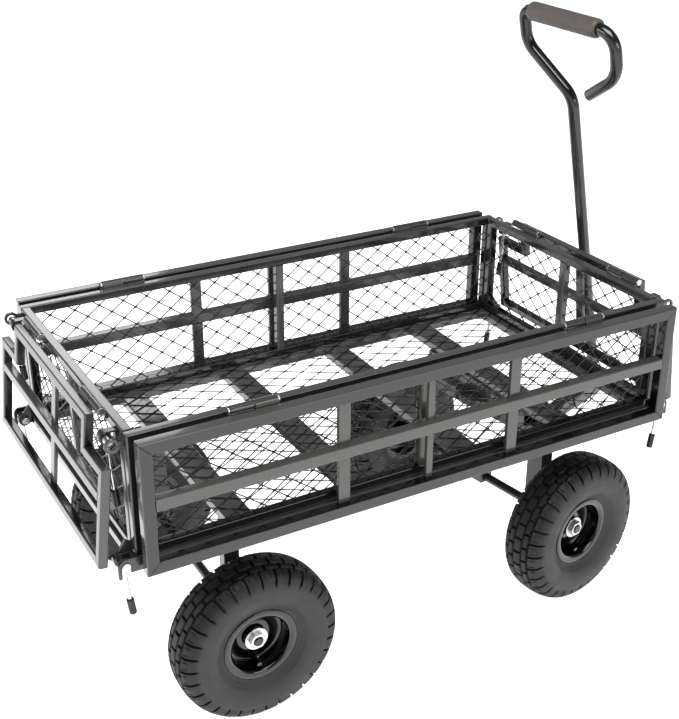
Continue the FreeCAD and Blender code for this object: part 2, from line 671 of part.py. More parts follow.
def end_rack():
    """Fold-up outer frame of one end, with the step that clears the upper latches."""
    w = END_TUBE
    d0 = END_HINGE_X + BARREL_R + 1.0
    d1 = d0 + END_DEPTH
    top = PANEL_TOP
    base = END_HALF_BASE
    neck = END_HALF_TOP
    m0 = END_MID_Z - w / 2
    m1 = END_MID_Z + w / 2
    out = [
        rail(-base, base, END_BOTTOM, END_BOTTOM + w, d0, d1, "YZ", (0, w), (0, w)),
        rail(-(base - w), base - w, m0, m1, d0, d1, "YZ"),
        rail(-neck, neck, top - w, top, d0, d1, "YZ", (w, 0), (w, 0)),
    ]
    for s in (-1, 1):
        side = sorted((s * base, s * (base - w)))
        cut = ((0, w), (w, 0)) if s < 0 else ((w, 0), (0, w))
        out.append(rail(END_BOTTOM, END_STEP_Z, side[0], side[1], d0, d1, "YZ",
                        cut[0], (0, w) if s < 0 else (w, 0), True))
        side = sorted((s * (base - w), s * (neck - w)))
        lower = (w, 0) if s < 0 else (0, w)
        leg = sorted((s * neck, s * (neck - w)))
        out.append(rail(END_STEP_Z - w, top, leg[0], leg[1], d0, d1, "YZ",
                        (0, 0), (0, w) if s < 0 else (w, 0), True))
        shelf = [(s * base, END_STEP_Z), (s * (base - w), END_STEP_Z - w),
                 (s * neck, END_STEP_Z - w), (s * neck, END_STEP_Z)]
        inner = [(s * (base - WALL), END_STEP_Z - WALL), (s * (base - w + WALL), END_STEP_Z - w + WALL),
                 (s * neck, END_STEP_Z - w + WALL), (s * neck, END_STEP_Z - WALL)]
        out.append(prism(shelf, d0, d1, "YZ").cut(prism(inner, d0 + WALL, d1 - WALL, "YZ")))
    y0 = END_SLAT_Y - END_SLAT_W / 2
    y1 = END_SLAT_Y + END_SLAT_W / 2
    for z0, z1 in ((END_BOTTOM + w, m0), (m1, top - w)):
        out.append(rail(z0, z1, y0, y1, d0, d0 + END_SLAT_T, "YZ", upright=True))
    for s in (-1, 1):
        y0 = s * END_HINGE_Y + BARREL_SPLIT / 2
        out.append(end_leaf(y0, y0 + BARREL_L, d0))
    return [turned(p, -END_TILT, (END_HINGE_X, 0, HINGE_Z), (0, 1, 0)) for p in out]


# ---- slide bolts --------------------------------------------------------------------------

def slide_bolt(side, z, y_in, y_out, y_lever, drop):
    """Bolt along Y with a bent rod lever welded to it. It returns the rod and its grip."""
    bolt = rod(BOLT_R, (PIVOT_X, side * y_in, z), (PIVOT_X, side * y_out, z))
    x1 = PIVOT_X - 4.0
    y = side * y_lever
    a = V(PIVOT_X, y, z)
    b = V(PIVOT_X - 1.0, y, z - drop * 0.5)
    c = V(x1, y, z - drop)
    arc = Part.Arc(a, b, c).toShape()
    tangent = arc.tangentAt(arc.FirstParameter)
    ring = Part.Wire(Part.makeCircle(LEVER_R, a, tangent))
    lever = Part.Wire([arc]).makePipeShell([ring], True, False)
    metal = bolt.fuse(lever).removeSplitter()
    end = arc.tangentAt(arc.LastParameter)
    grip = Part.makeCylinder(GRIP_R, GRIP_L, c, end)
    tip = [e for e in grip.Edges if e.Curve.TypeId == "Part::GeomCircle"]
    return metal, grip.makeFillet(1.8, tip)


LATCH_ENDS = {"rear": -1, "front": 1}
LATCH_SIDES = {"near": -1, "far": 1}


def write_latches():
    for end, e in LATCH_ENDS.items():
        for name, s in LATCH_SIDES.items():
            upper = slide_bolt(s, UPPER_BOLT_Z, STRAP_Y0 - 6.0, GATE_HALF, UPPER_LEVER_Y,
                               LEVER_UPPER_DROP)
            lower = slide_bolt(s, PIVOT_Z, GATE_HALF - BOLT_TRAVEL + 1.5, DY + HOOK_T + 1.0,
                               LOWER_LEVER_Y, LEVER_LOWER_DROP)
            for level, (metal, grip) in (("upper", upper), ("lower", lower)):
                if e < 0:
                    metal = mirrored(metal, (1, 0, 0))
                    grip = mirrored(grip, (1, 0, 0))
                node = end + "_" + name + "_" + level + "_bolt"
                save(node, [metal])
                save(node + "_grip", [grip])


# ---- wheels -------------------------------------------------------------------------------

def spin(points):
    """Solid of revolution about the Y axis from (y, r) points."""
    ring = [V(r, y, 0) for y, r in points]
    face = Part.Face(Part.makePolygon(ring + ring[:1]))
    return face.revolve(V(0, 0, 0), V(0, 1, 0), 360)


def tyre():
    """Hollow tyre. Its beads sit on the rim."""
    outer = [(-RIM_HALF + RIM_T, RIM_SEAT_R), (-RIM_HALF + RIM_T, RIM_FLANGE_R + 3.0),
             (-TYRE_HALF * 0.93, RIM_FLANGE_R + 18.0), (-TYRE_HALF, RIM_FLANGE_R + 32.0),
             (-TYRE_HALF * 0.95, WHEEL_R - 19.0), (-TYRE_HALF * 0.80, WHEEL_R - 7.0),
             (-TYRE_HALF * 0.5, WHEEL_R - 1.2), (-TYRE_HALF * 0.18, WHEEL_R)]
    outer = outer + [(-y, r) for y, r in reversed(outer)]
    t = TYRE_WALL
    inner = [(-RIM_HALF + RIM_T + t, RIM_SEAT_R), (-RIM_HALF + RIM_T + t, RIM_FLANGE_R + 5.0),
             (-TYRE_HALF * 0.93 + t, RIM_FLANGE_R + 20.0), (-TYRE_HALF + t, RIM_FLANGE_R + 32.0),
             (-TYRE_HALF * 0.95 + t, WHEEL_R - 21.0), (-TYRE_HALF * 0.5, WHEEL_R - 12.0)]
    inner = inner + [(-y, r) for y, r in reversed(inner)]
    return spin(outer).cut(spin(inner))


def rim():
    """Deep-dished rim with its hub tube. +Y is the outside."""
    s = RIM_SEAT_R
    f = RIM_FLANGE_R
    t = RIM_T
    h = RIM_HALF
    web = RIM_WEB
    shell = [(-h, f), (-h + t, f), (-h + t, s), (h - t, s), (h - t, f), (h, f),
             (h, s - t), (web + t, s - t), (web + t + 7.0, HUB_R + 12.0), (web + t + 7.0, HUB_R),
             (web + 7.0, HUB_R), (web + 7.0, HUB_R + 11.0), (web, s - t), (-h, s - t)]
    hub = spin([(-HUB_IN, AXLE_R + AXLE_CLEAR), (HUB_OUT, AXLE_R + AXLE_CLEAR),
                (HUB_OUT, HUB_R), (-HUB_IN, HUB_R)])
    reach = RIM_SEAT_R - RIM_T - 6.5
    turn = math.radians(VALVE_TURN)
    seat = V(reach * math.cos(turn), web + t + 1.0, reach * math.sin(turn))
    valve = Part.makeCylinder(VALVE_R, 24.0, seat, V(0, 1, 0))
    shell = spin(shell)
    return [shell.cut(valve), hub, valve.cut(shell)]


def wheel(x, side):
    """Tyre and rim of one wheel on the axle at x. side is its side of the cart."""
    out = []
    for group in ([tyre()], rim()):
        if side < 0:
            group = [mirrored(p, (0, 1, 0)) for p in group]
        out.append([moved(p, x, side * TRACK_HALF, AXLE_Z) for p in group])
    return out


# ---- steering, drawbar and handle -----------------------------------------------------------

def steered(shape):
    """Turn a front-axle piece by the rest steering angle."""
    return turned(shape, STEER_REST, (KINGPIN_X, 0, 0), (0, 0, 1))


def front_fork():
    """Steered fork: axle seats, two legs, a top bar with a solid block at the kingpin, and the lower plate."""
    x = KINGPIN_X
    out = [moved(p, x, 0, AXLE_Z) for p in axle_seats(FORK_LEG_T)] + legs(x, FORK_LEG_T, FORK_Z0)
    r = KINGPIN_R + KINGPIN_CLEAR
    w = LEG_W / 2
    block = box(x - w, x + w, -FORK_BLOCK_HALF, FORK_BLOCK_HALF, FORK_Z0, FORK_Z1)
    out.append(block.cut(rod(r, (x, 0, FORK_Z0), (x, 0, FORK_Z1))))
    for s in (-1, 1):
        y0, y1 = s * FORK_BLOCK_HALF, s * (LEG_Y + FORK_LEG_T / 2)
        bore = box(x - w + LEG_WALL, x + w - LEG_WALL, y0, y1, FORK_Z0 + LEG_WALL, FORK_Z1 - LEG_WALL)
        out.append(box(x - w, x + w, y0, y1, FORK_Z0, FORK_Z1).cut(bore))
    out.append(tube(TURNTABLE_R, r, (x, 0, FORK_Z1), (x, 0, FORK_Z1 + TURNTABLE_T)))
    return out


def drawbar_block():
    """Bored block on the middle of the front axle that the drawbar is welded to."""
    x, w = KINGPIN_X, LEG_W / 2
    half = FORK_BLOCK_HALF
    block = box(x - w, x + w, -half, half, AXLE_Z - AXLE_R - 1.0, AXLE_Z + DRAWBAR_RISE + DRAWBAR / 2 + 2.0)
    return block.cut(rod(AXLE_R + SEAT_CLEAR, (x, -half, AXLE_Z), (x, half, AXLE_Z)))


def drawbar():
    """Square tube from a block on the front axle, with a clevis at its far end."""
    x0 = LEG_W / 2
    root = AXLE_Z + DRAWBAR_RISE
    rise = HANDLE_Z - root
    run = HANDLE_REACH - x0
    angle = math.degrees(math.atan2(rise, run))
    length = math.hypot(rise, run)
    half = DRAWBAR / 2
    bar = box(-20.0, length - 30.0, -half, half, -half, half)
    hollow = box(-20.0, length - 30.0, -half + 2, half - 2, -half + 2, half - 2)
    bar = bar.cut(hollow)
    out = [bar]
    gap = HANDLE_R + CLEVIS_GAP
    seat = HANDLE_PIN_R + SEAT_CLEAR
    for s in (-1, 1):
        y0 = s * max(gap, half)
        y1 = y0 + s * CLEVIS_T
        cheek = box(length - 75.0, length, y0, y1, -half, half)
        cheek = cheek.fuse(rod(half, (length, y0, 0), (length, y1, 0)))
        out.append(cheek.cut(rod(seat, (length, y0, 0), (length, y1, 0))).removeSplitter())
    placed = []
    for p in out:
        p = turned(p, -angle, (0, 0, 0), (0, 1, 0))
        p = moved(p, KINGPIN_X + x0, 0, root)
        placed.append(p)
    placed[0] = placed[0].cut(box(KINGPIN_X - 60, KINGPIN_X + x0, -40, 40, 0, 300))
    return placed + [drawbar_block()]


def handle_pin():
    """Cross bolt of the handle with a head and a nut."""
    y1 = max(HANDLE_R + CLEVIS_GAP, DRAWBAR / 2) + CLEVIS_T
    x = KINGPIN_X + HANDLE_REACH
    p = rod(HANDLE_PIN_R, (x, -y1 - 6.0, HANDLE_Z), (x, y1 + 6.0, HANDLE_Z))
    out = [p]
    for s in (-1, 1):
        head = moved(hex_bar(16.0, s * y1, s * (y1 + 5.0)), x, 0, HANDLE_Z)
        out[0] = out[0].fuse(head)
    return [out[0].removeSplitter()]


def bent_wire(points, radii):
    """Wire through (u, v) points in the YZ plane with a tangent arc at each inner point."""
    pts = [V(0, u, v) for u, v in points]
    edges = []
    last = pts[0]
    for i in range(1, len(pts) - 1):
        a = (pts[i - 1] - pts[i]).normalize()
        b = (pts[i + 1] - pts[i]).normalize()
        half = a.getAngle(b) / 2
        reach = radii[i - 1] / math.tan(half)
        p = pts[i] + a * reach
        q = pts[i] + b * reach
        middle = (a + b).normalize()
        centre = pts[i] + middle * (radii[i - 1] / math.sin(half))
        m = centre - middle * radii[i - 1]
        edges.append(Part.LineSegment(last, p).toShape())
        edges.append(Part.Arc(p, m, q).toShape())
        last = q
    edges.append(Part.LineSegment(last, pts[-1]).toShape())
    return Part.Wire(edges)


def to_handle(shape):
    """Lean a handle piece back, put it on its pivot and steer it."""
    shape = turned(shape, -HANDLE_LEAN, (0, 0, 0), (0, 1, 0))
    return steered(moved(shape, KINGPIN_X + HANDLE_REACH, 0, HANDLE_Z))


def handle_points():
    return [(0.0, -16.0), (0.0, SHAFT_TOP), (LOOP_NEAR, LOOP_SHOULDER), (LOOP_NEAR, LOOP_TOP),
            (-LOOP_FAR, LOOP_TOP - LOOP_SLANT), (-LOOP_FAR, LOOP_SHOULDER_2), LOOP_END]


def handle_tube():
    wire = bent_wire(handle_points(), LOOP_RADII)
    start = V(0, 0, -16.0)
    pipes = []
    for r in (HANDLE_R, HANDLE_R - HANDLE_WALL):
        pipes.append(wire.makePipeShell([Part.Wire(Part.makeCircle(r, start, V(0, 0, 1)))], True, False))
    tube_shape = pipes[0].cut(pipes[1])
    tube_shape = tube_shape.cut(rod(HANDLE_PIN_R + PIN_CLEAR, (0, -30, 0), (0, 30, 0)))
    return [to_handle(tube_shape)]


def foam_grip():
    pts = handle_points()
    a = V(0, *pts[3])
    b = V(0, *pts[4])
    step = b - a
    p = a + step * ((a.y - FOAM_FROM) / -step.y)
    q = a + step * ((a.y - FOAM_TO) / -step.y)
    outer = rod(FOAM_R, tuple(p), tuple(q))
    ends = [e for e in outer.Edges if e.Curve.TypeId == "Part::GeomCircle"]
    outer = outer.makeFillet(3.0, ends)
    return [to_handle(outer.cut(rod(HANDLE_R + FOAM_CLEAR, tuple(p), tuple(q))))]


# ---- write every node -----------------------------------------------------------------------

os.makedirs("parts", exist_ok=True)

save("deck_frame", deck_frame())
save("cross_members", cross_members())
save("floor_mesh", floor_mesh())
for side_name, side_sign in LATCH_SIDES.items():
    save(side_name + "_panel_frame", side_panel(side_sign))
    save(side_name + "_panel_mesh", side_mesh(side_sign))
    save(side_name + "_rack", side_rack(side_sign))
save("side_hinge_pins", side_hinge_pins())
save("corner_hooks", corner_hooks())
save("bolt_guides", bolt_guides())
save("rear_supports", legs(REAR_AXLE_X, LEG_T, DECK_BOTTOM))
save("rear_axle_seats", [moved(p, REAR_AXLE_X, 0, AXLE_Z) for p in axle_seats(LEG_T)])
save("rear_axle", [moved(axle_rod(), REAR_AXLE_X, 0, AXLE_Z)])
save("rear_axle_nuts", [moved(p, REAR_AXLE_X, 0, AXLE_Z) for p in axle_nuts()])
save("front_bolster", front_bolster())
save("kingpin", kingpin())

gate_parts = {"gate_frame": gate_frame(), "gate_mesh": gate_mesh(), "gate_hinge_pins": gate_pins(),
              "gate_latch_straps": latch_straps(), "gate_rack": end_rack()}
for gate_node, gate_solids in gate_parts.items():
    save("front_" + gate_node, gate_solids)
    save("rear_" + gate_node, [mirrored(p, (1, 0, 0)) for p in gate_solids])
write_latches()

save("front_fork", [steered(p) for p in front_fork()])
save("front_axle", [steered(moved(axle_rod(), KINGPIN_X, 0, AXLE_Z))])
save("front_axle_nuts", [steered(moved(p, KINGPIN_X, 0, AXLE_Z)) for p in axle_nuts()])
save("drawbar", [steered(p) for p in drawbar()])
save("handle_pin", [steered(p) for p in handle_pin()])
save("handle_tube", handle_tube())
save("foam_grip", foam_grip())

for wheel_side, wheel_sign in LATCH_SIDES.items():
    tyre_part, rim_part = wheel(REAR_AXLE_X, wheel_sign)
    save("rear_" + wheel_side + "_tyre", tyre_part)
    save("rear_" + wheel_side + "_rim", rim_part)
    tyre_part, rim_part = wheel(KINGPIN_X, wheel_sign)
    save("front_" + wheel_side + "_tyre", [steered(p) for p in tyre_part])
    save("front_" + wheel_side + "_rim", [steered(p) for p in rim_part])
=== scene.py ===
import math

import bmesh
import bpy
import numpy as np
from mathutils import Euler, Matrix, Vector


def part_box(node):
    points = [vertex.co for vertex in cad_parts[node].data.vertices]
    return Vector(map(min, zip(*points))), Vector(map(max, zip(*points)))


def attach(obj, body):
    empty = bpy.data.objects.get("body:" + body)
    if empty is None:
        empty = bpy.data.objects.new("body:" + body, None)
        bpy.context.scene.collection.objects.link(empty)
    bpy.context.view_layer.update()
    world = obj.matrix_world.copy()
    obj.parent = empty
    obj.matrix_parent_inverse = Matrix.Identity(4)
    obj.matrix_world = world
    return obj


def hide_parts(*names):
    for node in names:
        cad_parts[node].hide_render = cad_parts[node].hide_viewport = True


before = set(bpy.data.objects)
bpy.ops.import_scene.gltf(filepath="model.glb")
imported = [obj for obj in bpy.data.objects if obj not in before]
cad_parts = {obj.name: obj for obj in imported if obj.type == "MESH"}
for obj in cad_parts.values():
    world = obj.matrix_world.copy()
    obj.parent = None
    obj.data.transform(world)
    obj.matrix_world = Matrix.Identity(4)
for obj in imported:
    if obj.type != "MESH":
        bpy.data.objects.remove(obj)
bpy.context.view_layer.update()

scene = bpy.context.scene

# ---- studio ------------------------------------------------
# A white sweep under a wide overhead softbox, as a catalogue table is lit. The gloss of the black
# paint shows what stands round it, so the floor is bright and the ceiling is kept darker.

FLOOR_HALF = 60.0
FLOOR_WHITE = "#f4f4f3"
FLOOR_LIFT = 0.80       # a little light of its own keeps the far floor white
HORIZON_LIGHT = 1.1
CEILING_LIGHT = 0.22


def linear(code):
    """Linear colour of an sRGB hex code: each channel over 12.92 below 0.04045, else the 2.4 power
    of (c + 0.055) / 1.055."""
    c = np.array([int(code[i:i + 2], 16) / 255 for i in (1, 3, 5)])
    c = np.where(c <= 0.04045, c / 12.92, ((c + 0.055) / 1.055) ** 2.4)
    return (float(c[0]), float(c[1]), float(c[2]), 1.0)


def add_node(tree, kind, inputs=None, **settings):
    """Adds a node, sets its properties, and gives each named input a value or a link."""
    node = tree.nodes.new(kind)
    for key, value in settings.items():
        setattr(node, key, value)
    for socket, value in (inputs or {}).items():
        if isinstance(value, bpy.types.NodeSocket):
            tree.links.new(value, node.inputs[socket])
        else:
            node.inputs[socket].default_value = value
    return node


def empty_material(name):
    """New material with an empty node tree."""
    material = bpy.data.materials.new(name)
    material.use_nodes = True
    material.node_tree.nodes.clear()
    return material, material.node_tree


# Matt white paper: it shows no reflections, only the cart's soft shadow.
WHITE = (1.0, 1.0, 1.0, 1.0)
paper_white, tree = empty_material("matt_white_sweep")
shade = add_node(tree, "ShaderNodeBsdfPrincipled",
                 {"Base Color": linear(FLOOR_WHITE), "Roughness": 0.9, "Emission Color": WHITE,
                  "Emission Strength": FLOOR_LIFT})
add_node(tree, "ShaderNodeOutputMaterial", {"Surface": shade.outputs["BSDF"]})

floor_mesh = bpy.data.meshes.new("studio_floor")
floor_mesh.from_pydata([(-FLOOR_HALF, -FLOOR_HALF, 0), (FLOOR_HALF, -FLOOR_HALF, 0),
                        (FLOOR_HALF, FLOOR_HALF, 0), (-FLOOR_HALF, FLOOR_HALF, 0)], [], [(0, 1, 2, 3)])
floor_mesh.materials.append(paper_white)
floor = bpy.data.objects.new("studio_floor", floor_mesh)
scene.collection.objects.link(floor)

world = bpy.data.worlds.new("studio_air")
world.use_nodes = True
world.node_tree.nodes.clear()
tree = world.node_tree
where = add_node(tree, "ShaderNodeTexCoord")
split = add_node(tree, "ShaderNodeSeparateXYZ", {"Vector": where.outputs["Generated"]})
ramp = add_node(tree, "ShaderNodeMapRange", {"Value": split.outputs["Z"], "From Min": 0.02, "From Max": 0.30,
                                             "To Min": HORIZON_LIGHT, "To Max": CEILING_LIGHT})
sky = add_node(tree, "ShaderNodeBackground", {"Color": WHITE, "Strength": ramp.outputs["Result"]})
add_node(tree, "ShaderNodeOutputWorld", {"Surface": sky.outputs["Background"]})
scene.world = world


def softbox(name, place, aim, width, height, power):
    """Rectangular area light at a place, turned towards a point."""
    lamp = bpy.data.lights.new(name, "AREA")
    lamp.shape = "RECTANGLE"
    lamp.size = width
    lamp.size_y = height
    lamp.energy = power
    box = bpy.data.objects.new(name, lamp)
    box.location = place
    box.rotation_euler = (Vector(aim) - Vector(place)).to_track_quat("-Z", "Y").to_euler()
    scene.collection.objects.link(box)


softbox("overhead_softbox", (-0.5, -0.9, 3.1), (0.1, 0.0, 0.0), 2.2, 1.6, 80)
softbox("rear_softbox", (-3.0, 0.6, 1.6), (0.0, 0.0, 0.35), 1.6, 1.2, 22)
softbox("near_softbox", (1.2, -3.4, 1.7), (0.1, 0.0, 0.3), 2.0, 1.2, 30)
softbox("far_left_glow", (0.25, 3.3, 2.15), (-0.4, 0.0, 0.5), 1.3, 0.8, 9)

camera_data = bpy.data.cameras.new("catalogue_camera")
camera_data.lens = 60.464
camera_data.sensor_width = 36.0
camera_data.clip_end = 200.0
camera_data.shift_x = -0.0008
camera_data.shift_y = -0.0009
camera = bpy.data.objects.new("catalogue_camera", camera_data)
camera.location = (-0.9129, -1.5943, 1.3283)
camera.rotation_euler = Euler((math.radians(64.247), math.radians(-0.222), math.radians(-29.484)), "XYZ")
scene.collection.objects.link(camera)
scene.camera = camera
scene.view_settings.view_transform = "Standard"
scene.view_settings.look = "Medium High Contrast"

# ---- finishes of the steelwork -----------------------------
# Tube, strip and plate are all dipped in black polyester powder and baked. The coat flows smooth
# and glossy, with a slight orange peel. Sharp corners are mixed to a paler grey, a painted highlight.

COAT_DARK = "#050506"
COAT_PALE = "#0e0e0e"
# Pale grey laid on sharp edges: a painted highlight.
EDGE_HIGHLIGHT_GREY = "#4a4a48"
PEEL_MM = 3.5          # the real peel is about 1 mm; it is drawn coarser, to show
STREAK_MM = 130.0      # the coat's thickness wanders over a hand's breadth

gloss_powder, tree = empty_material("gloss_black_powder_coat")
where = add_node(tree, "ShaderNodeTexCoord")
streak = add_node(tree, "ShaderNodeTexNoise", {"Vector": where.outputs["Object"], "Scale": 1000 / STREAK_MM,
                                               "Detail": 3.0, "Roughness": 0.55})
peel = add_node(tree, "ShaderNodeTexNoise", {"Vector": where.outputs["Object"], "Scale": 1000 / PEEL_MM,
                                             "Detail": 2.0, "Roughness": 0.5})
shape = add_node(tree, "ShaderNodeNewGeometry")
# Pointiness picks out sharp edges, which are mixed towards the pale grey below: a painted highlight.
edge = add_node(tree, "ShaderNodeMapRange", {"Value": shape.outputs["Pointiness"], "From Min": 0.52,
                                             "From Max": 0.60})
tone = add_node(tree, "ShaderNodeMix", {0: streak.outputs["Fac"], 6: linear(COAT_DARK), 7: linear(COAT_PALE)},
                data_type="RGBA")
painted_edge_highlight = add_node(tree, "ShaderNodeMix", {0: edge.outputs["Result"], 6: tone.outputs[2], 7: linear(EDGE_HIGHLIGHT_GREY)},
                  data_type="RGBA")
rough = add_node(tree, "ShaderNodeMapRange", {"Value": streak.outputs["Fac"], "From Min": 0.3, "From Max": 0.7,
                                              "To Min": 0.13, "To Max": 0.19})
bump = add_node(tree, "ShaderNodeBump", {"Height": peel.outputs["Fac"], "Strength": 0.05, "Distance": 0.0001})
shade = add_node(tree, "ShaderNodeBsdfPrincipled",
                 {"Base Color": painted_edge_highlight.outputs[2], "Roughness": rough.outputs["Result"], "IOR": 1.5,
                  "Coat Weight": 0.4, "Coat Roughness": 0.05, "Coat IOR": 1.5, "Normal": bump.outputs["Normal"]})
add_node(tree, "ShaderNodeOutputMaterial", {"Surface": shade.outputs["BSDF"]})

# Bright zinc plate on pins, bolts and nuts: a silver metal whose shine is slightly clouded in patches.
ZINC_CLOUD_MM = 9.0

zinc_plate, tree = empty_material("bright_zinc_plate")
where = add_node(tree, "ShaderNodeTexCoord")
cloud = add_node(tree, "ShaderNodeTexNoise", {"Vector": where.outputs["Object"], "Scale": 1000 / ZINC_CLOUD_MM,
                                              "Detail": 4.0})
tone = add_node(tree, "ShaderNodeMix", {0: cloud.outputs["Fac"], 6: linear("#9fa1a1"), 7: linear("#dedfdc")},
                data_type="RGBA")
rough = add_node(tree, "ShaderNodeMapRange", {"Value": cloud.outputs["Fac"], "From Min": 0.3, "From Max": 0.7,
                                              "To Min": 0.18, "To Max": 0.36})
bump = add_node(tree, "ShaderNodeBump", {"Height": cloud.outputs["Fac"], "Strength": 0.12, "Distance": 0.0002})
shade = add_node(tree, "ShaderNodeBsdfPrincipled",
                 {"Base Color": tone.outputs[2], "Metallic": 1.0, "Roughness": rough.outputs["Result"],
                  "Normal": bump.outputs["Normal"]})
add_node(tree, "ShaderNodeOutputMaterial", {"Surface": shade.outputs["BSDF"]})

# ---- deck frame --------------------------------------------
# Four flat 30 x 15 mm tubes, the long pair running past the short pair, butt-welded at the corners.
# Their rolled corners have a radius of about one and a half walls, which gives the edge highlights.

DECK_TUBE = 0.030
DECK_WALL = 0.0015
CORNER_R = 0.0024


def rounded_outline(width, depth, radius, steps=4):
    """Rounded rectangle from 0 to width and 0 to depth: a quarter circle at each corner, joined by
    straight sides."""
    turn = (np.arange(4) * np.pi / 2)[:, None] + np.linspace(0, np.pi / 2, steps + 1)[None, :]
    cx = np.array([width - radius, radius, radius, width - radius])[:, None]
    cy = np.array([depth - radius, depth - radius, radius, radius])[:, None]
    return np.stack([(cx + radius * np.cos(turn)).ravel(), (cy + radius * np.sin(turn)).ravel()], 1)


def skin(rings, joined=False, caps=True):
    """Quads between neighbouring rings of points, all with the same count. joined closes the last ring to
    the first, and caps puts a flat face on each end. The faces are turned so that the volume, a sum of
    triple products, is positive."""
    rings = np.asarray(rings, float)
    count, around = rings.shape[:2]
    i = np.arange(count if joined else count - 1)[:, None]
    j = np.arange(around)[None, :]
    k, m = (i + 1) % count, (j + 1) % around
    quads = np.stack([i * around + j, i * around + m, k * around + m, k * around + j], -1).reshape(-1, 4)
    faces = [quads]
    if caps and not joined:
        faces.append(np.stack([np.arange(around)[::-1], (count - 1) * around + np.arange(around)]))
    verts = rings.reshape(-1, 3)
    mid = verts.mean(0)
    a, b, c, d = (verts[quads[:, n]] - mid for n in range(4))
    if (np.cross(a, b) * c).sum() + (np.cross(a, c) * d).sum() < 0:
        faces = [f[:, ::-1] for f in faces]
    return verts, faces


def piece(name, shells, material, body, nodes=(), flat_angle=35.0, even=True):
    """Joins shells of points and faces into one object that rides on a body, and shades it smooth but for
    edges over flat_angle degrees."""
    verts, loops, totals, start = [], [], [], 0
    for points, faces in shells:
        verts.append(points)
        for f in faces:
            loops.append((f + start).ravel())
            totals.append(np.full(len(f), f.shape[1]))
        start += len(points)
    verts, loops, totals = np.concatenate(verts), np.concatenate(loops), np.concatenate(totals)
    mesh = bpy.data.meshes.new(name)
    mesh.vertices.add(len(verts))
    mesh.vertices.foreach_set("co", verts.astype(np.float32).ravel())
    mesh.loops.add(len(loops))
    mesh.loops.foreach_set("vertex_index", loops.astype(np.int32))
    mesh.polygons.add(len(totals))
    mesh.polygons.foreach_set("loop_start", (np.cumsum(totals) - totals).astype(np.int32))
    mesh.polygons.foreach_set("loop_total", totals.astype(np.int32))
    mesh.polygons.foreach_set("use_smooth", np.ones(len(totals), bool))
    mesh.update(calc_edges=True)
    mesh.validate()
    mesh.set_sharp_from_angle(angle=math.radians(flat_angle))
    mesh.materials.append(material)
    obj = bpy.data.objects.new(name, mesh)
    scene.collection.objects.link(obj)
    if even:
        weigh = obj.modifiers.new("even_shading", "WEIGHTED_NORMAL")
        weigh.keep_sharp = True
    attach(obj, body)
    if nodes:
        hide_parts(*nodes)
    return obj


def outline_frame(start, end, depth_axis):
    """Unit run from start to end, the depth axis, and the axis across both."""
    run = np.subtract(end, start)
    run = run / np.linalg.norm(run)
    depth_axis = np.asarray(depth_axis, float)
    return run, depth_axis, np.cross(depth_axis, run)


def straight_tube(start, end, depth_axis, width, depth, radius=CORNER_R, wall=0.0):
    """Rounded rectangle centred on the line from start to end. With a wall it is hollow: the rings run out
    along the outside and back along the bore."""
    start, end = np.asarray(start, float), np.asarray(end, float)
    run, n, across = outline_frame(start, end, depth_axis)
    a, b = (rounded_outline(width, depth, radius) - (width / 2, depth / 2)).T
    ring = a[:, None] * across + b[:, None] * n
    if not wall:
        return skin([start + ring, end + ring])
    bore_r = max(radius - wall, 0.0004)
    a, b = (rounded_outline(width - 2 * wall, depth - 2 * wall, bore_r) - (width / 2 - wall, depth / 2 - wall)).T
    bore = a[:, None] * across + b[:, None] * n
    return skin([start + ring, end + ring, end + bore, start + bore], joined=True)


deck_low, deck_high = (np.array(v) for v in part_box("deck_frame"))
deck_mid_z = (deck_low[2] + deck_high[2]) / 2
deck_depth = deck_high[2] - deck_low[2]
deck_inner = deck_high[1] - DECK_TUBE
X, Y, Z = (1, 0, 0), (0, 1, 0), (0, 0, 1)
shells = []
for s in (-1, 1):
    y = s * (deck_high[1] - DECK_TUBE / 2)
    x = s * (deck_high[0] - DECK_TUBE / 2)
    shells.append(straight_tube((-deck_high[0], y, deck_mid_z), (deck_high[0], y, deck_mid_z),
                                Z, DECK_TUBE, deck_depth, wall=DECK_WALL))
    shells.append(straight_tube((x, -deck_inner, deck_mid_z), (x, deck_inner, deck_mid_z),
                                Z, DECK_TUBE, deck_depth, wall=DECK_WALL))
piece("deck_tubes", shells, gloss_powder, "chassis", ["deck_frame"])

# ---- cross members -----------------------------------------
# Four pressed channels, flanges down, welded between the long deck tubes. The strip is bent, so
# its two upper corners are round outside and in.

MEMBER_WIDTH = 0.042
MEMBER_SHEET = 0.0025
MEMBER_BEND = 0.003
MEMBER_INNER_BEND = 0.001
MEMBER_XS = (-0.300, -0.105, 0.105, 0.300)


def channel_outline(width, depth, sheet, steps=4):
    """Upside-down channel: up one outer side, across the top and down the other, then back along the
    inside, with the outer and inner bends drawn as quarter circles."""
    turn = np.linspace(0, np.pi / 2, steps + 1)
    w, wi, di = width / 2, width / 2 - sheet, depth - sheet
    r, ri = MEMBER_BEND, MEMBER_INNER_BEND
    outer = np.stack([w - r + r * np.cos(turn), depth - r + r * np.sin(turn)], 1)
    inner = np.stack([wi - ri + ri * np.cos(turn), di - ri + ri * np.sin(turn)], 1)
    right = np.concatenate([[[wi, 0.0], [w, 0.0]], outer])
    left = (outer * (-1, 1))[::-1]
    return np.concatenate([right, left, [[-w, 0.0], [-wi, 0.0]], inner * (-1, 1), inner[::-1]])


profile = channel_outline(MEMBER_WIDTH, deck_depth, MEMBER_SHEET)
shells = []
for x in MEMBER_XS:
    ring = np.stack([x + profile[:, 0], np.zeros(len(profile)), deck_low[2] + profile[:, 1]], 1)
    shells.append(skin([ring + (0, -deck_inner, 0), ring + (0, deck_inner, 0)]))
piece("deck_channels", shells, gloss_powder, "chassis", ["cross_members"])

# ---- expanded metal ----------------------------------------
# Steel sheet is slit and stretched into diamonds, so each strand is a strip turned on edge between
# two thick knots. It is tacked to the tubes and coated with them; the thin strands look matter.

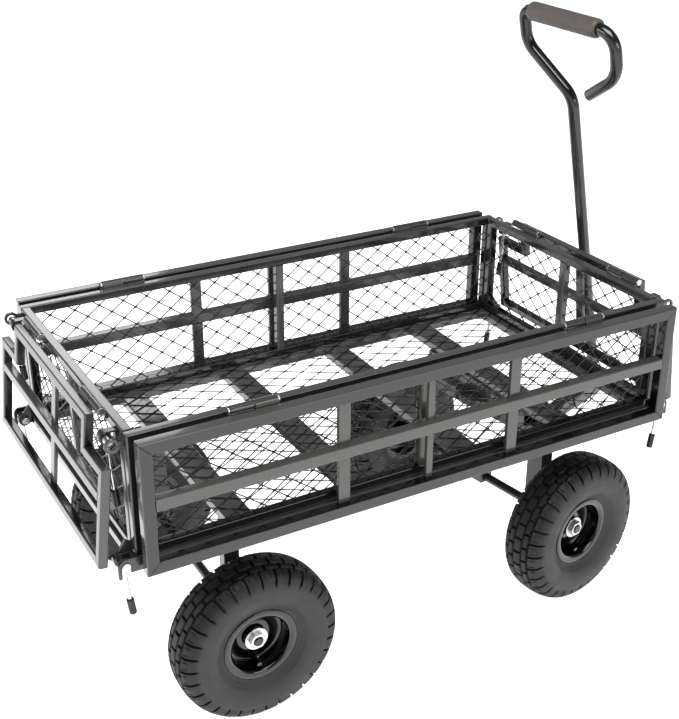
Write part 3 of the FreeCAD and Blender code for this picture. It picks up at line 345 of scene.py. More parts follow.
STRAND_MM = 2.2
SHEET_MM = 2.0
KNOT_MM = 2.8
KNOT_SWELL = 0.65       # a knot is this much wider than its strands
SECTION_FILL = 0.46     # half width of the oval section, as a share of the sheared strip
TURN_AT_KNOT, TURN_MORE = 12, 38
ROLLED = 0.75           # the sheet is rolled after stretching, which lowers the strands
SECTION_POINTS = 8
STATIONS = (0.0, 0.07, 0.18, 0.5, 0.82, 0.93, 1.0)
STUB = 0.04             # a shorter share of a strand than this is left off at the border
MESH_GRAIN_MM = 2.5

mesh_powder, tree = empty_material("black_powder_on_expanded_steel")
where = add_node(tree, "ShaderNodeTexCoord")
grain = add_node(tree, "ShaderNodeTexNoise", {"Vector": where.outputs["Object"], "Scale": 1000 / MESH_GRAIN_MM,
                                              "Detail": 3.0})
tone = add_node(tree, "ShaderNodeMix", {0: grain.outputs["Fac"], 6: linear("#0a0a0a"), 7: linear("#1a1a19")},
                data_type="RGBA")
bump = add_node(tree, "ShaderNodeBump", {"Height": grain.outputs["Fac"], "Strength": 0.25, "Distance": 0.0002})
shade = add_node(tree, "ShaderNodeBsdfPrincipled",
                 {"Base Color": tone.outputs[2], "Roughness": 0.36, "IOR": 1.5, "Coat Weight": 0.3,
                  "Coat Roughness": 0.2, "Normal": bump.outputs["Normal"]})
add_node(tree, "ShaderNodeOutputMaterial", {"Surface": shade.outputs["BSDF"]})


def expanded_sheet(low, high, half_u, half_v, level, axes, tuck=0.0015, shift=0.5):
    """Diamond net over a rectangle. Cell (i, j) of the half-diamond grid holds one strand, leaning left
    where i + j is even and right where it is odd. Along a strand an oval section turns on edge by the sine
    of its length, and it swells by a bell curve near each knot."""
    low, high = np.array(low), np.array(high)
    half = np.array([half_u, half_v])
    mid = (low + high) / 2 + (0.0, half_v * shift)
    cols = int((high[0] - low[0]) / half_u) // 2 + 2
    rows = int((high[1] - low[1]) / half_v) // 2 + 2
    i, j = np.meshgrid(np.arange(-cols, cols), np.arange(-rows, rows), indexing="ij")
    i, j = i.ravel(), j.ravel()
    even = (i + j) % 2 == 0
    a = mid + np.stack([i + even, j], 1) * half
    b = mid + np.stack([i + ~even, j + 1], 1) * half
    run = b - a
    lo, hi = low - tuck, high + tuck
    t = np.sort(np.stack([(lo - a) / run, (hi - a) / run], 0), axis=0)
    t0 = np.clip(t[0].max(1), 0, 1)
    t1 = np.clip(t[1].min(1), 0, 1)
    keep = t1 - t0 > STUB
    a, run, t0, t1 = a[keep], run[keep], t0[keep], t1[keep]
    length = np.linalg.norm(run, axis=1)

    t = t0[:, None] + (t1 - t0)[:, None] * np.array(STATIONS)
    knot = np.minimum(t, 1 - t) * length[:, None] * 1000
    swell = 1 + KNOT_SWELL * np.exp(-(knot / KNOT_MM) ** 2)
    turn = np.radians(TURN_AT_KNOT + TURN_MORE * np.sin(np.pi * t))
    angle = np.arange(SECTION_POINTS) * np.pi / 4 + np.pi / 8
    wide = np.cos(angle) * STRAND_MM / 1000 * SECTION_FILL
    thick = np.sin(angle) * SHEET_MM / 1000 * SECTION_FILL
    side = wide * swell[..., None] * np.cos(turn)[..., None] - thick * np.sin(turn)[..., None]
    rise = wide * swell[..., None] * np.sin(turn)[..., None] * ROLLED + thick * np.cos(turn)[..., None]
    across = np.stack([-run[:, 1], run[:, 0]], 1) / length[:, None]
    flat = (a[:, None] + t[..., None] * run[:, None])[:, :, None] + side[..., None] * across[:, None, None]
    u, v, n = (np.asarray(x, float) for x in axes)
    points = flat[..., :1] * u + flat[..., 1:] * v + (level + rise)[..., None] * n

    around, last = SECTION_POINTS, len(STATIONS) - 1
    base = (np.arange(len(a)) * around * len(STATIONS))[:, None, None]
    r = np.arange(last)[None, :, None] * around
    q = np.arange(around)[None, None, :]
    q_next = (q + 1) % around
    quads = np.stack(np.broadcast_arrays(base + r + q, base + r + q_next,
                                         base + r + around + q_next, base + r + around + q), -1).reshape(-1, 4)
    first = base[:, :, 0] + np.arange(around)
    caps = np.concatenate([first[:, ::-1], first + last * around])
    verts = points.reshape(-1, 3)
    p, e, f = (verts[quads[:, k]] for k in (0, 1, 3))
    out = (points - points.mean(2, keepdims=True)).reshape(-1, 3)[quads[:, 0]]
    if (np.cross(e - p, f - p) * out).sum() < 0:
        quads, caps = quads[:, ::-1], caps[:, ::-1]
    return verts, [quads, caps]


FLOOR_HALF_U, FLOOR_HALF_V = 0.027, 0.017
low, high = (np.array(v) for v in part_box("floor_mesh"))
shell = expanded_sheet(low[:2], high[:2], FLOOR_HALF_U, FLOOR_HALF_V, (low[2] + high[2]) / 2, (X, Y, Z),
                       tuck=0.0, shift=0.0)
piece("floor_diamonds", [shell], mesh_powder, "chassis", ["floor_mesh"], even=False)

POST_HALF = 0.0075
SIDE_HALF_U, SIDE_HALF_V = 0.0213, 0.0161
for side in ("near", "far"):
    node = side + "_panel_mesh"
    low, high = (np.array(v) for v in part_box(node))
    shells = []
    for u0, u1 in ((low[0], -POST_HALF), (POST_HALF, high[0])):
        shells.append(expanded_sheet((u0, low[2]), (u1, high[2]), SIDE_HALF_U, SIDE_HALF_V,
                                     (low[1] + high[1]) / 2, (X, Z, Y)))
    piece(side + "_panel_diamonds", shells, mesh_powder, "chassis", [node], even=False)
for end in ("rear", "front"):
    node = end + "_gate_mesh"
    low, high = (np.array(v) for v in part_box(node))
    shells = []
    for u0, u1 in ((low[1], -POST_HALF), (POST_HALF, high[1])):
        shells.append(expanded_sheet((u0, low[2]), (u1, high[2]), SIDE_HALF_U, SIDE_HALF_V,
                                     (low[0] + high[0]) / 2, (Y, Z, X)))
    piece(end + "_gate_diamonds", shells, mesh_powder, end + "_gate", [node], even=False)

# ---- hinges and eyes ---------------------------------------
# Weld-on barrels of bored 13 mm bar on a 3 mm leaf, and round-nosed plates drilled for the bolts.
# They are cut from bar and plate, welded on and coated with the frame.

BARREL_R, BARREL_BORE, BARREL_L, LEAF_T = 0.0065, 0.00405, 0.036, 0.003
HINGE_Z = 0.549
EYE_R, EYE_BORE = 0.011, 0.0063
BROKEN_EDGE = 0.0006


def turned_ring(profile, centre, axis, segments=40, joined=True):
    """Profile of (along, radius) pairs turned round an axis through a centre."""
    axis = np.asarray(axis, float)
    side = np.cross(axis, (0.0, 0.0, 1.0) if abs(axis[2]) < 0.9 else (1.0, 0.0, 0.0))
    side /= np.linalg.norm(side)
    other = np.cross(axis, side)
    angle = np.arange(segments) * 2 * np.pi / segments
    around = np.cos(angle)[:, None] * side + np.sin(angle)[:, None] * other
    profile = np.asarray(profile, float)
    rings = centre + profile[:, :1, None] * axis + profile[:, 1:, None] * around[None]
    return skin(rings, joined=joined, caps=not joined)


def bored_barrel(centre, axis, length):
    """Barrel from 0 to length along an axis, with eased rims."""
    e = BROKEN_EDGE
    rim = [(0, BARREL_BORE), (0, BARREL_R - e), (e, BARREL_R), (length - e, BARREL_R), (length, BARREL_R - e),
           (length, BARREL_BORE)]
    return turned_ring(rim, np.asarray(centre, float), axis)


def eyed_plate(eye, reach, axis, thick, to, half_width, bore=EYE_BORE, radius=EYE_R, steps=48):
    """Plate with a round nose about an eye and a straight tail. In polar form round the eye the edge is the
    nose radius or, on the tail's side, the nearer of the tail's end and its two sides where that is farther."""
    axis, to = np.asarray(axis, float), np.asarray(to, float)
    up = np.cross(axis, to)
    angle = np.arange(steps) * 2 * np.pi / steps
    c, s = np.cos(angle), np.sin(angle)
    tail = np.minimum(reach / np.maximum(c, 1e-9), half_width / np.maximum(np.abs(s), 1e-9))
    edge = np.where(c > 0, np.maximum(tail, radius), radius)
    flat = c[:, None] * to + s[:, None] * up
    eye = np.asarray(eye, float)
    e = BROKEN_EDGE
    rings = [eye + flat * bore, eye + flat * (edge - e)[:, None], eye + axis * e + flat * edge[:, None],
             eye + axis * (thick - e) + flat * edge[:, None], eye + axis * thick + flat * (edge - e)[:, None],
             eye + axis * thick + flat * bore]
    return skin(rings, joined=True)


def hinge_half(centre, axis, length, leaf_side, leaf_face, drop=0.013):
    """Barrel from a centre along an axis with its leaf hanging on one side."""
    centre, axis, leaf_side = (np.asarray(v, float) for v in (centre, axis, leaf_side))
    leaf_mid = centre + leaf_side * leaf_face - np.array([0, 0, drop / 2])
    leaf = straight_tube(leaf_mid, leaf_mid + axis * length, Z, LEAF_T, drop, radius=0.0008)
    return [bored_barrel(centre, axis, length), leaf]


# ---- side panels -------------------------------------------
# Two fixed walls of 15 mm square tube, mitred at the corners, with a middle post. Each corner keeps
# the shallow seam that is left when the weld is ground flush.

PANEL_TUBE = 0.015
SEAM = 0.0005


def mitred_loop(corners, depth_axis, width, depth, radius=CORNER_R):
    """Square tube round a flat loop of outer corners. The outline is carried from corner to corner along the
    mitre, which is the sum of the two inward normals over one plus their dot product. Three rings at a
    corner, the middle one a hair smaller, draw the ground seam."""
    c = np.asarray(corners, float)
    n = np.asarray(depth_axis, float)
    ahead = np.roll(c, -1, 0) - c
    ahead /= np.linalg.norm(ahead, axis=1, keepdims=True)
    behind = np.roll(ahead, 1, 0)
    inward, inward_back = np.cross(n, ahead), np.cross(n, behind)
    mitre = (inward + inward_back) / (1 + (inward * inward_back).sum(1, keepdims=True))
    outline = rounded_outline(width, depth, radius)
    small = (outline - (width / 2, depth / 2)) * (1 - 2 * SEAM / width) + (width / 2, depth / 2)
    ring = c[:, None] + outline[:, 0][None, :, None] * mitre[:, None] + outline[:, 1][None, :, None] * n
    dip = c[:, None] + small[:, 0][None, :, None] * mitre[:, None] + small[:, 1][None, :, None] * n
    rings = np.stack([ring - behind[:, None] * SEAM, dip, ring + ahead[:, None] * SEAM], 1)
    return skin(rings.reshape(-1, len(outline), 3), joined=True)


def rectangle(u, v0, v1, level, plane):
    """Outer corners of a rectangle of half length u from v0 to v1, in order round the plane's depth axis."""
    if plane == "XZ":
        return [(u, level, v0), (-u, level, v0), (-u, level, v1), (u, level, v1)]
    return [(level, -u, v0), (level, u, v0), (level, u, v1), (level, -u, v1)]


PANEL_X, PANEL_Y, PANEL_IN = 0.473, 0.250, 0.235
PANEL_Z0, PANEL_Z1 = 0.350, 0.545
SIDE_HINGE_X, SIDE_HINGE_Y = 0.291, 0.257
BOLT_X, UPPER_BOLT_Z = 0.490, 0.529
HINGE_GAP = 0.0005
KEEPER_Y, KEEPER_REACH, KEEPER_T, KEEPER_HALF = 0.237, 0.017, 0.004, 0.006

for side, s in (("near", -1), ("far", 1)):
    level = min(s * PANEL_IN, s * PANEL_Y)
    shells = [mitred_loop(rectangle(PANEL_X, PANEL_Z0, PANEL_Z1, level, "XZ"), Y, PANEL_TUBE, PANEL_TUBE)]
    mid_y = s * (PANEL_IN + PANEL_TUBE / 2)
    shells.append(straight_tube((0, mid_y, PANEL_Z0 + PANEL_TUBE), (0, mid_y, PANEL_Z1 - PANEL_TUBE),
                                Y, PANEL_TUBE, PANEL_TUBE))
    for e in (-1, 1):
        shells += hinge_half((e * SIDE_HINGE_X - HINGE_GAP - BARREL_L, s * SIDE_HINGE_Y, HINGE_Z), X, BARREL_L,
                             (0, -s, 0), SIDE_HINGE_Y - PANEL_Y - LEAF_T / 2)
        shells.append(eyed_plate((e * BOLT_X, s * KEEPER_Y, UPPER_BOLT_Z), KEEPER_REACH, (0, s, 0), KEEPER_T,
                                 (-e, 0, 0), KEEPER_HALF))
    piece(side + "_panel_tubes", shells, gloss_powder, "chassis", [side + "_panel_frame"])

# ---- side racks --------------------------------------------
# Outer frames of 19 mm square tube with one middle rail and flat posts, hung from the panel tops.

RACK_X, RACK_Z0, RACK_Z1, RACK_TUBE = 0.469, 0.337, 0.545, 0.019
RACK_Y0, RACK_MID = 0.264, 0.446
POSTS = ((-0.153, 0.020), (-0.003, 0.012), (0.153, 0.020))
POST_T, POST_EDGE = 0.008, 0.0016
for side, s in (("near", -1), ("far", 1)):
    level = s * RACK_Y0 if s > 0 else -(RACK_Y0 + RACK_TUBE)
    mid_y = s * (RACK_Y0 + RACK_TUBE / 2)
    shells = [mitred_loop(rectangle(RACK_X, RACK_Z0, RACK_Z1, level, "XZ"), Y, RACK_TUBE, RACK_TUBE)]
    end = RACK_X - RACK_TUBE
    shells.append(straight_tube((-end, mid_y, RACK_MID), (end, mid_y, RACK_MID), Y, RACK_TUBE, RACK_TUBE))
    post_y = s * (RACK_Y0 + POST_T / 2)
    for x, w in POSTS:
        for z0, z1 in ((RACK_Z0 + RACK_TUBE, RACK_MID - RACK_TUBE / 2),
                       (RACK_MID + RACK_TUBE / 2, RACK_Z1 - RACK_TUBE)):
            shells.append(straight_tube((x, post_y, z0), (x, post_y, z1), Y, w, POST_T, radius=POST_EDGE))
    for e in (-1, 1):
        shells += hinge_half((e * SIDE_HINGE_X + HINGE_GAP, s * SIDE_HINGE_Y, HINGE_Z), X, BARREL_L,
                             (0, s, 0), RACK_Y0 - SIDE_HINGE_Y - LEAF_T / 2)
    piece(side + "_rack_tubes", shells, gloss_powder, side + "_rack", [side + "_rack"])

# ---- end gates ---------------------------------------------
# Drop ends of the same 15 mm tube, between the side walls. Two lugs carry them on the lower bolts.

GATE_Y, GATE_Z0, GATE_X0 = 0.233, 0.352, 0.458
END_HINGE_X, END_HINGE_Y = 0.4805, 0.138
LOWER_BOLT_Z = 0.346
LUG_Y, LUG_REACH, LUG_T, LUG_HALF = 0.227, 0.028, 0.006, 0.0075
for end, e in (("rear", -1), ("front", 1)):
    level = min(e * GATE_X0, e * PANEL_X)
    mid_x = e * (GATE_X0 + PANEL_TUBE / 2)
    shells = [mitred_loop(rectangle(GATE_Y, GATE_Z0, PANEL_Z1, level, "YZ"), X, PANEL_TUBE, PANEL_TUBE)]
    shells.append(straight_tube((mid_x, 0, GATE_Z0 + PANEL_TUBE), (mid_x, 0, PANEL_Z1 - PANEL_TUBE),
                                X, PANEL_TUBE, PANEL_TUBE))
    for s in (-1, 1):
        shells += hinge_half((e * END_HINGE_X, s * END_HINGE_Y - HINGE_GAP - BARREL_L, HINGE_Z), Y, BARREL_L,
                             (-e, 0, 0), END_HINGE_X - PANEL_X - LEAF_T / 2)
        tail = np.array([-e * 0.55, 0, 0.835])
        tail /= np.linalg.norm(tail)
        shells.append(eyed_plate((e * BOLT_X, s * LUG_Y, LOWER_BOLT_Z), LUG_REACH, (0, s, 0), LUG_T,
                                 tail, LUG_HALF))
    piece(end + "_gate_tubes", shells, gloss_powder, end + "_gate", [end + "_gate_frame"])

# ---- end racks ---------------------------------------------
# Outer frames of the ends, narrower above a step that clears the upper latches. They hang a few
# degrees outward from their hinges.

END_TUBE, END_DEPTH = 0.015, 0.014
END_BASE, END_NECK = 0.243, 0.170
END_Z0, END_STEP, END_MID = 0.342, 0.496, 0.448
END_X0 = END_HINGE_X + BARREL_R + 0.001
END_TILT = math.radians(6.5)
SLAT_W, SLAT_T, SLAT_Y, SLAT_EDGE = 0.018, 0.006, -0.008, 0.0012


def tilted(shell, e):
    """Shell turned about the hinge line so that its foot swings outward: x grows by the depth below the
    hinge times the sine of the tilt."""
    points, faces = shell
    dx, dz = points[:, 0] * e - END_HINGE_X, points[:, 2] - HINGE_Z
    out = points.copy()
    out[:, 0] = e * (END_HINGE_X + dx * math.cos(END_TILT) - dz * math.sin(END_TILT))
    out[:, 2] = HINGE_Z + dx * math.sin(END_TILT) + dz * math.cos(END_TILT)
    return out, faces


for end, e in (("rear", -1), ("front", 1)):
    level = END_X0 if e > 0 else -(END_X0 + END_DEPTH)
    mid_x = e * (END_X0 + END_DEPTH / 2)
    loop = [(-END_BASE, END_Z0), (END_BASE, END_Z0), (END_BASE, END_STEP), (END_NECK, END_STEP),
            (END_NECK, PANEL_Z1), (-END_NECK, PANEL_Z1), (-END_NECK, END_STEP), (-END_BASE, END_STEP)]
    shells = [mitred_loop([(level, y, z) for y, z in loop], X, END_TUBE, END_DEPTH)]
    reach = END_BASE - END_TUBE
    shells.append(straight_tube((mid_x, -reach, END_MID), (mid_x, reach, END_MID), X, END_TUBE, END_DEPTH))
    slat_x = e * (END_X0 + SLAT_T / 2)
    for z0, z1 in ((END_Z0 + END_TUBE, END_MID - END_TUBE / 2), (END_MID + END_TUBE / 2, PANEL_Z1 - END_TUBE)):
        shells.append(straight_tube((slat_x, SLAT_Y, z0), (slat_x, SLAT_Y, z1), X, SLAT_W, SLAT_T,
                                    radius=SLAT_EDGE))
    for s in (-1, 1):
        shells += hinge_half((e * END_HINGE_X, s * END_HINGE_Y + HINGE_GAP, HINGE_Z), Y, BARREL_L,
                             (e, 0, 0), END_X0 - END_HINGE_X - LEAF_T / 2)
    piece(end + "_rack_tubes", [tilted(shell, e) for shell in shells], gloss_powder, end + "_gate_rack",
          [end + "_gate_rack"])

# ---- plate, rod and undercarriage --------------------------
# Pressed hooks and guides, strap latches, legs, axles, fork and turntable, all coated black, and
# the zinc-plated pins, bolts and nuts. Sheared edges are broken a little before plating.


def eased(name, node, material, body, width, keep=32.0):
    """Copy of a part with its loose triangles joined and its edges sharper than keep degrees rounded to a
    width."""
    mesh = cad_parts[node].data.copy()
    mesh.name = name
    bm = bmesh.new()
    bm.from_mesh(mesh)
    bmesh.ops.remove_doubles(bm, verts=bm.verts, dist=2e-6)
    bmesh.ops.dissolve_limit(bm, angle_limit=math.radians(0.6), verts=bm.verts, edges=bm.edges)
    for face in bm.faces:
        face.smooth = True
    bm.to_mesh(mesh)
    bm.free()
    mesh.materials.clear()
    mesh.materials.append(material)
    mesh.set_sharp_from_angle(angle=math.radians(keep))
    obj = bpy.data.objects.new(name, mesh)
    scene.collection.objects.link(obj)
    bevel = obj.modifiers.new("broken_edge", "BEVEL")
    bevel.width = width
    bevel.segments = 2
    bevel.limit_method = "ANGLE"
    bevel.angle_limit = math.radians(keep)
    bevel.use_clamp_overlap = True
    bevel.harden_normals = True
    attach(obj, body)
    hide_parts(node)
    return obj


for node, width in (("corner_hooks", 0.0008), ("bolt_guides", 0.0008), ("rear_supports", 0.0015),
                    ("rear_axle_seats", 0.0015), ("front_bolster", 0.0012), ("rear_axle", 0.0006)):
    eased(node + "_coated", node, gloss_powder, "chassis", width)
for node, width in (("front_fork", 0.0015), ("drawbar", 0.0015), ("front_axle", 0.0006)):
    eased(node + "_coated", node, gloss_powder, "steering", width)
for node, width in (("side_hinge_pins", 0.0005), ("kingpin", 0.001), ("rear_axle_nuts", 0.0009)):
    eased(node + "_plated", node, zinc_plate, "chassis", width)
for node, width in (("front_axle_nuts", 0.0009), ("handle_pin", 0.0009)):
    eased(node + "_plated", node, zinc_plate, "steering", width)

# Black vinyl, dipped on the levers' ends: half matt, with a fine pebbled skin.
VINYL_GRAIN_MM = 1.6

vinyl_dip, tree = empty_material("black_vinyl_dip")
where = add_node(tree, "ShaderNodeTexCoord")
grain = add_node(tree, "ShaderNodeTexNoise", {"Vector": where.outputs["Object"], "Scale": 1000 / VINYL_GRAIN_MM,
                                              "Detail": 2.0})
bump = add_node(tree, "ShaderNodeBump", {"Height": grain.outputs["Fac"], "Strength": 0.2, "Distance": 0.0002})
shade = add_node(tree, "ShaderNodeBsdfPrincipled",
                 {"Base Color": linear("#141414"), "Roughness": 0.42, "IOR": 1.53, "Normal": bump.outputs["Normal"]})
add_node(tree, "ShaderNodeOutputMaterial", {"Surface": shade.outputs["BSDF"]})

for end in ("rear", "front"):
    eased(end + "_latch_straps_coated", end + "_gate_latch_straps", gloss_powder, end + "_gate",
          0.0006)
    eased(end + "_hinge_pins_plated", end + "_gate_hinge_pins", zinc_plate, end + "_gate", 0.0005)
    for side in ("near", "far"):
        for level in ("upper", "lower"):
            stem = "_".join((end, side, level))
            eased(stem + "_bolt_plated", stem + "_bolt", zinc_plate, stem + "_latch", 0.0008)
            eased(stem + "_grip_dipped", stem + "_bolt_grip", vinyl_dip, stem + "_latch", 0.0004)

# ---- wheels ------------------------------------------------
# Block-tread pneumatic tyres of black rubber on deep-dished one-piece steel rims. The sidewall is
# smooth with fine moulded rings; the tread is rows of blocks with siped shoulders.

WHEEL_R, TRACK_Y, REAR_X, KINGPIN_X = 0.134, 0.230, -0.290, 0.295
STEER = math.radians(9.2)
BLOCKS = 32
GRID_PER_BLOCK = 22
CROWN_MM = 134.0
DUST_MM, SPECK_MM = 22.0, 1.8

# Moulded black rubber: matt, greyer and a little dusty on the sidewall. The tread is mixed to a much darker black,
# which is painted shade.
tyre_rubber, tree = empty_material("moulded_tyre_rubber")
where = add_node(tree, "ShaderNodeTexCoord")
dust = add_node(tree, "ShaderNodeTexNoise", {"Vector": where.outputs["Object"], "Scale": 1000 / DUST_MM,
                                             "Detail": 4.0})
speck = add_node(tree, "ShaderNodeTexNoise", {"Vector": where.outputs["Object"], "Scale": 1000 / SPECK_MM,
                                              "Detail": 2.0})
# The tread value mixes the tread towards near black below: painted shade.
tread_shade_band = add_node(tree, "ShaderNodeAttribute", attribute_name="tread")
wall = add_node(tree, "ShaderNodeMix", {0: dust.outputs["Fac"], 6: linear("#222322"), 7: linear("#313130")},
                data_type="RGBA")
tone = add_node(tree, "ShaderNodeMix", {0: tread_shade_band.outputs["Fac"], 6: wall.outputs[2], 7: linear("#0c0c0c")},
                data_type="RGBA")
rough = add_node(tree, "ShaderNodeMapRange", {"Value": dust.outputs["Fac"], "From Min": 0.3, "From Max": 0.7,
                                              "To Min": 0.48, "To Max": 0.66})
bump = add_node(tree, "ShaderNodeBump", {"Height": speck.outputs["Fac"], "Strength": 0.25, "Distance": 0.0003})
shade = add_node(tree, "ShaderNodeBsdfPrincipled",
                 {"Base Color": tone.outputs[2], "Roughness": rough.outputs["Result"], "IOR": 1.52,
                  "Normal": bump.outputs["Normal"]})
add_node(tree, "ShaderNodeOutputMaterial", {"Surface": shade.outputs["BSDF"]})

# Stoved black enamel on pressed steel: deep black, with sharp highlights on the lip and the dish.
ENAMEL_WAVE_MM = 14.0

rim_enamel, tree = empty_material("black_stove_enamel")
where = add_node(tree, "ShaderNodeTexCoord")
cloud = add_node(tree, "ShaderNodeTexNoise", {"Vector": where.outputs["Object"], "Scale": 1000 / ENAMEL_WAVE_MM,
                                              "Detail": 3.0})
rough = add_node(tree, "ShaderNodeMapRange", {"Value": cloud.outputs["Fac"], "From Min": 0.3, "From Max": 0.7,
                                              "To Min": 0.10, "To Max": 0.18})
bump = add_node(tree, "ShaderNodeBump", {"Height": cloud.outputs["Fac"], "Strength": 0.08, "Distance": 0.0005})
shade = add_node(tree, "ShaderNodeBsdfPrincipled",
                 {"Base Color": linear("#060607"), "Roughness": rough.outputs["Result"], "IOR": 1.55,
                  "Coat Weight": 0.4, "Coat Roughness": 0.05, "Normal": bump.outputs["Normal"]})
add_node(tree, "ShaderNodeOutputMaterial", {"Surface": shade.outputs["BSDF"]})


def soft_step(x, edge, blur):
    """0 below an edge, 1 above it, with a cubic ease over the blur."""
    t = np.clip((x - edge) / blur + 0.5, 0, 1)
    return t * t * (3 - 2 * t)


def smooth_curve(points, count):
    """Catmull-Rom curve through points: on each span the cubic whose end slopes are half the chord of the
    neighbours. It is then sampled at even arc lengths."""
    p = np.asarray(points, float)
    p = np.concatenate([2 * p[:1] - p[1:2], p, 2 * p[-1:] - p[-2:-1]])
    t = np.linspace(0, 1, 24, endpoint=False)[:, None]
    spans = [0.5 * ((2 * b) + (c - a) * t + (2 * a - 5 * b + 4 * c - d) * t ** 2 + (3 * b - a - 3 * c + d) * t ** 3)
             for a, b, c, d in zip(p[:-3], p[1:-2], p[2:-1], p[3:])]
    curve = np.concatenate(spans + [p[-2:-1]])
    length = np.concatenate([[0], np.cumsum(np.linalg.norm(np.diff(curve, axis=0), axis=1))])
    even = np.linspace(0, length[-1], count)
    return np.stack([np.interp(even, length, curve[:, k]) for k in range(2)], 1)


# Each row of blocks: its inner and outer edge from the crown line, its shift in pitches, its groove.
TREAD_ROWS = ((0.0, 6.8, 0.0, 3.6), (9.8, 20.8, 0.5, 3.8), (23.8, 37.4, 0.0, 3.8), (38.0, 60.0, 0.0, 3.6))
TREAD_DEPTH, TREAD_END = 4.2, 52.0
GROOVE_BLUR = 0.9
SIPE_FROM, SIPE_TO, SIPE_DEPTH = 27.0, 35.0, 0.45


def tread_rows(around, across):
    """Height of the tread in mm below the crown: 0 on a block and minus the groove depth in a groove.
    around is in block pitches, across in mm from the crown line. A block is a product of soft steps at
    its four sides."""
    a = np.abs(across)
    pitch = 2 * np.pi * CROWN_MM / BLOCKS
    height = np.zeros(np.broadcast(around, across).shape)
    for low, high, shift, gap in TREAD_ROWS:
        phase = np.abs((around + shift) % 1 - 0.5) * pitch
        side = soft_step(a, low, GROOVE_BLUR) if low else 1.0
        block = side * (1 - soft_step(a, high, GROOVE_BLUR)) * (1 - soft_step(phase, pitch / 2 - gap / 2, 1.2))
        height = np.maximum(height, block)
    sipe = np.abs((around * 2) % 1 - 0.5) * pitch / 2
    notch = (1 - soft_step(sipe, 0.9, 0.9)) * soft_step(a, SIPE_FROM, 1.0) * (1 - soft_step(a, SIPE_TO, 1.0))
    height = height - SIPE_DEPTH * notch
    depth = TREAD_DEPTH * (1 - soft_step(a, TREAD_END, 6.0))
    return (height - 1) * depth


# Sections in mm, as (out from the mid plane, radius), and the moulded rings as (radius, width, height).
TYRE_HALF = [(27.0, 50.8), (27.0, 60.5), (30.0, 68.0), (38.5, 79.0), (42.0, 93.0), (40.0, 112.0), (35.2, 124.0),
             (26.0, 130.6), (13.0, 133.5), (0.0, CROWN_MM)]
TYRE_INSIDE = [(21.0, 50.8), (21.0, 66.0), (35.0, 93.0), (33.0, 112.0), (20.0, 121.0), (-20.0, 121.0),
               (-33.0, 112.0), (-35.0, 93.0), (-21.0, 66.0), (-21.0, 50.8)]
SIDEWALL_RINGS = ((103.5, 1.0, 0.55), (70.0, 1.1, 0.7), (75.5, 0.9, 0.45))
SHOULDER_RING = (56.5, 0.9, 0.8)    # this one is placed by its distance from the crown line


def tyre_shell(theta_count=BLOCKS * GRID_PER_BLOCK, across_count=92):
    """Tyre as a closed grid: a section of bead, sidewall, shoulder and crown is turned round Y, the tread's
    height is taken off along the section's normal, fine rings are added as bell curves, and a plain inner
    wall closes the section. With it comes a value for each point, 1 on the tread and 0 on the sidewall."""
    full = [(-y, r) for y, r in TYRE_HALF] + [(y, r) for y, r in TYRE_HALF[-2::-1]]
    curve = smooth_curve(full, across_count)
    step = np.gradient(curve, axis=0)
    step /= np.linalg.norm(step, axis=1, keepdims=True)
    normal = np.stack([-step[:, 1], step[:, 0]], 1)
    length = np.concatenate([[0], np.cumsum(np.linalg.norm(np.diff(curve, axis=0), axis=1))])
    across = length - length[-1] / 2
    theta = np.arange(theta_count) * 2 * np.pi / theta_count
    ring = sum(high * np.exp(-((curve[:, 1] - at) / wide) ** 2) for at, wide, high in SIDEWALL_RINGS)
    at, wide, high = SHOULDER_RING
    ring = ring + high * np.exp(-((np.abs(across) - at) / wide) ** 2)
    lift = tread_rows((theta * BLOCKS / (2 * np.pi))[:, None], across[None]) + ring[None]
    inner = np.array(TYRE_INSIDE)
    y, r = (np.concatenate([curve[:, k] + lift * normal[:, k],
                            np.broadcast_to(inner[:, k], (theta_count, len(inner)))], 1) for k in (0, 1))
    rings = np.stack([r * np.cos(theta)[:, None], y, r * np.sin(theta)[:, None]], -1) / 1000
    # This value darkens the tread in the rubber's colour: painted shade.
    tread = 1 - soft_step(np.abs(across), TREAD_END, 10.0)
    tread = np.broadcast_to(np.concatenate([tread, np.zeros(len(inner))]), rings.shape[:2])
    return skin(rings, joined=True), tread.ravel()


VALVE_TURN = math.radians(-91.0)
VALVE_R = 0.0418        # the valve's own distance from the axle
VALVE_SEAT = VALVE_R * np.array([math.cos(VALVE_TURN), 0, math.sin(VALVE_TURN)])


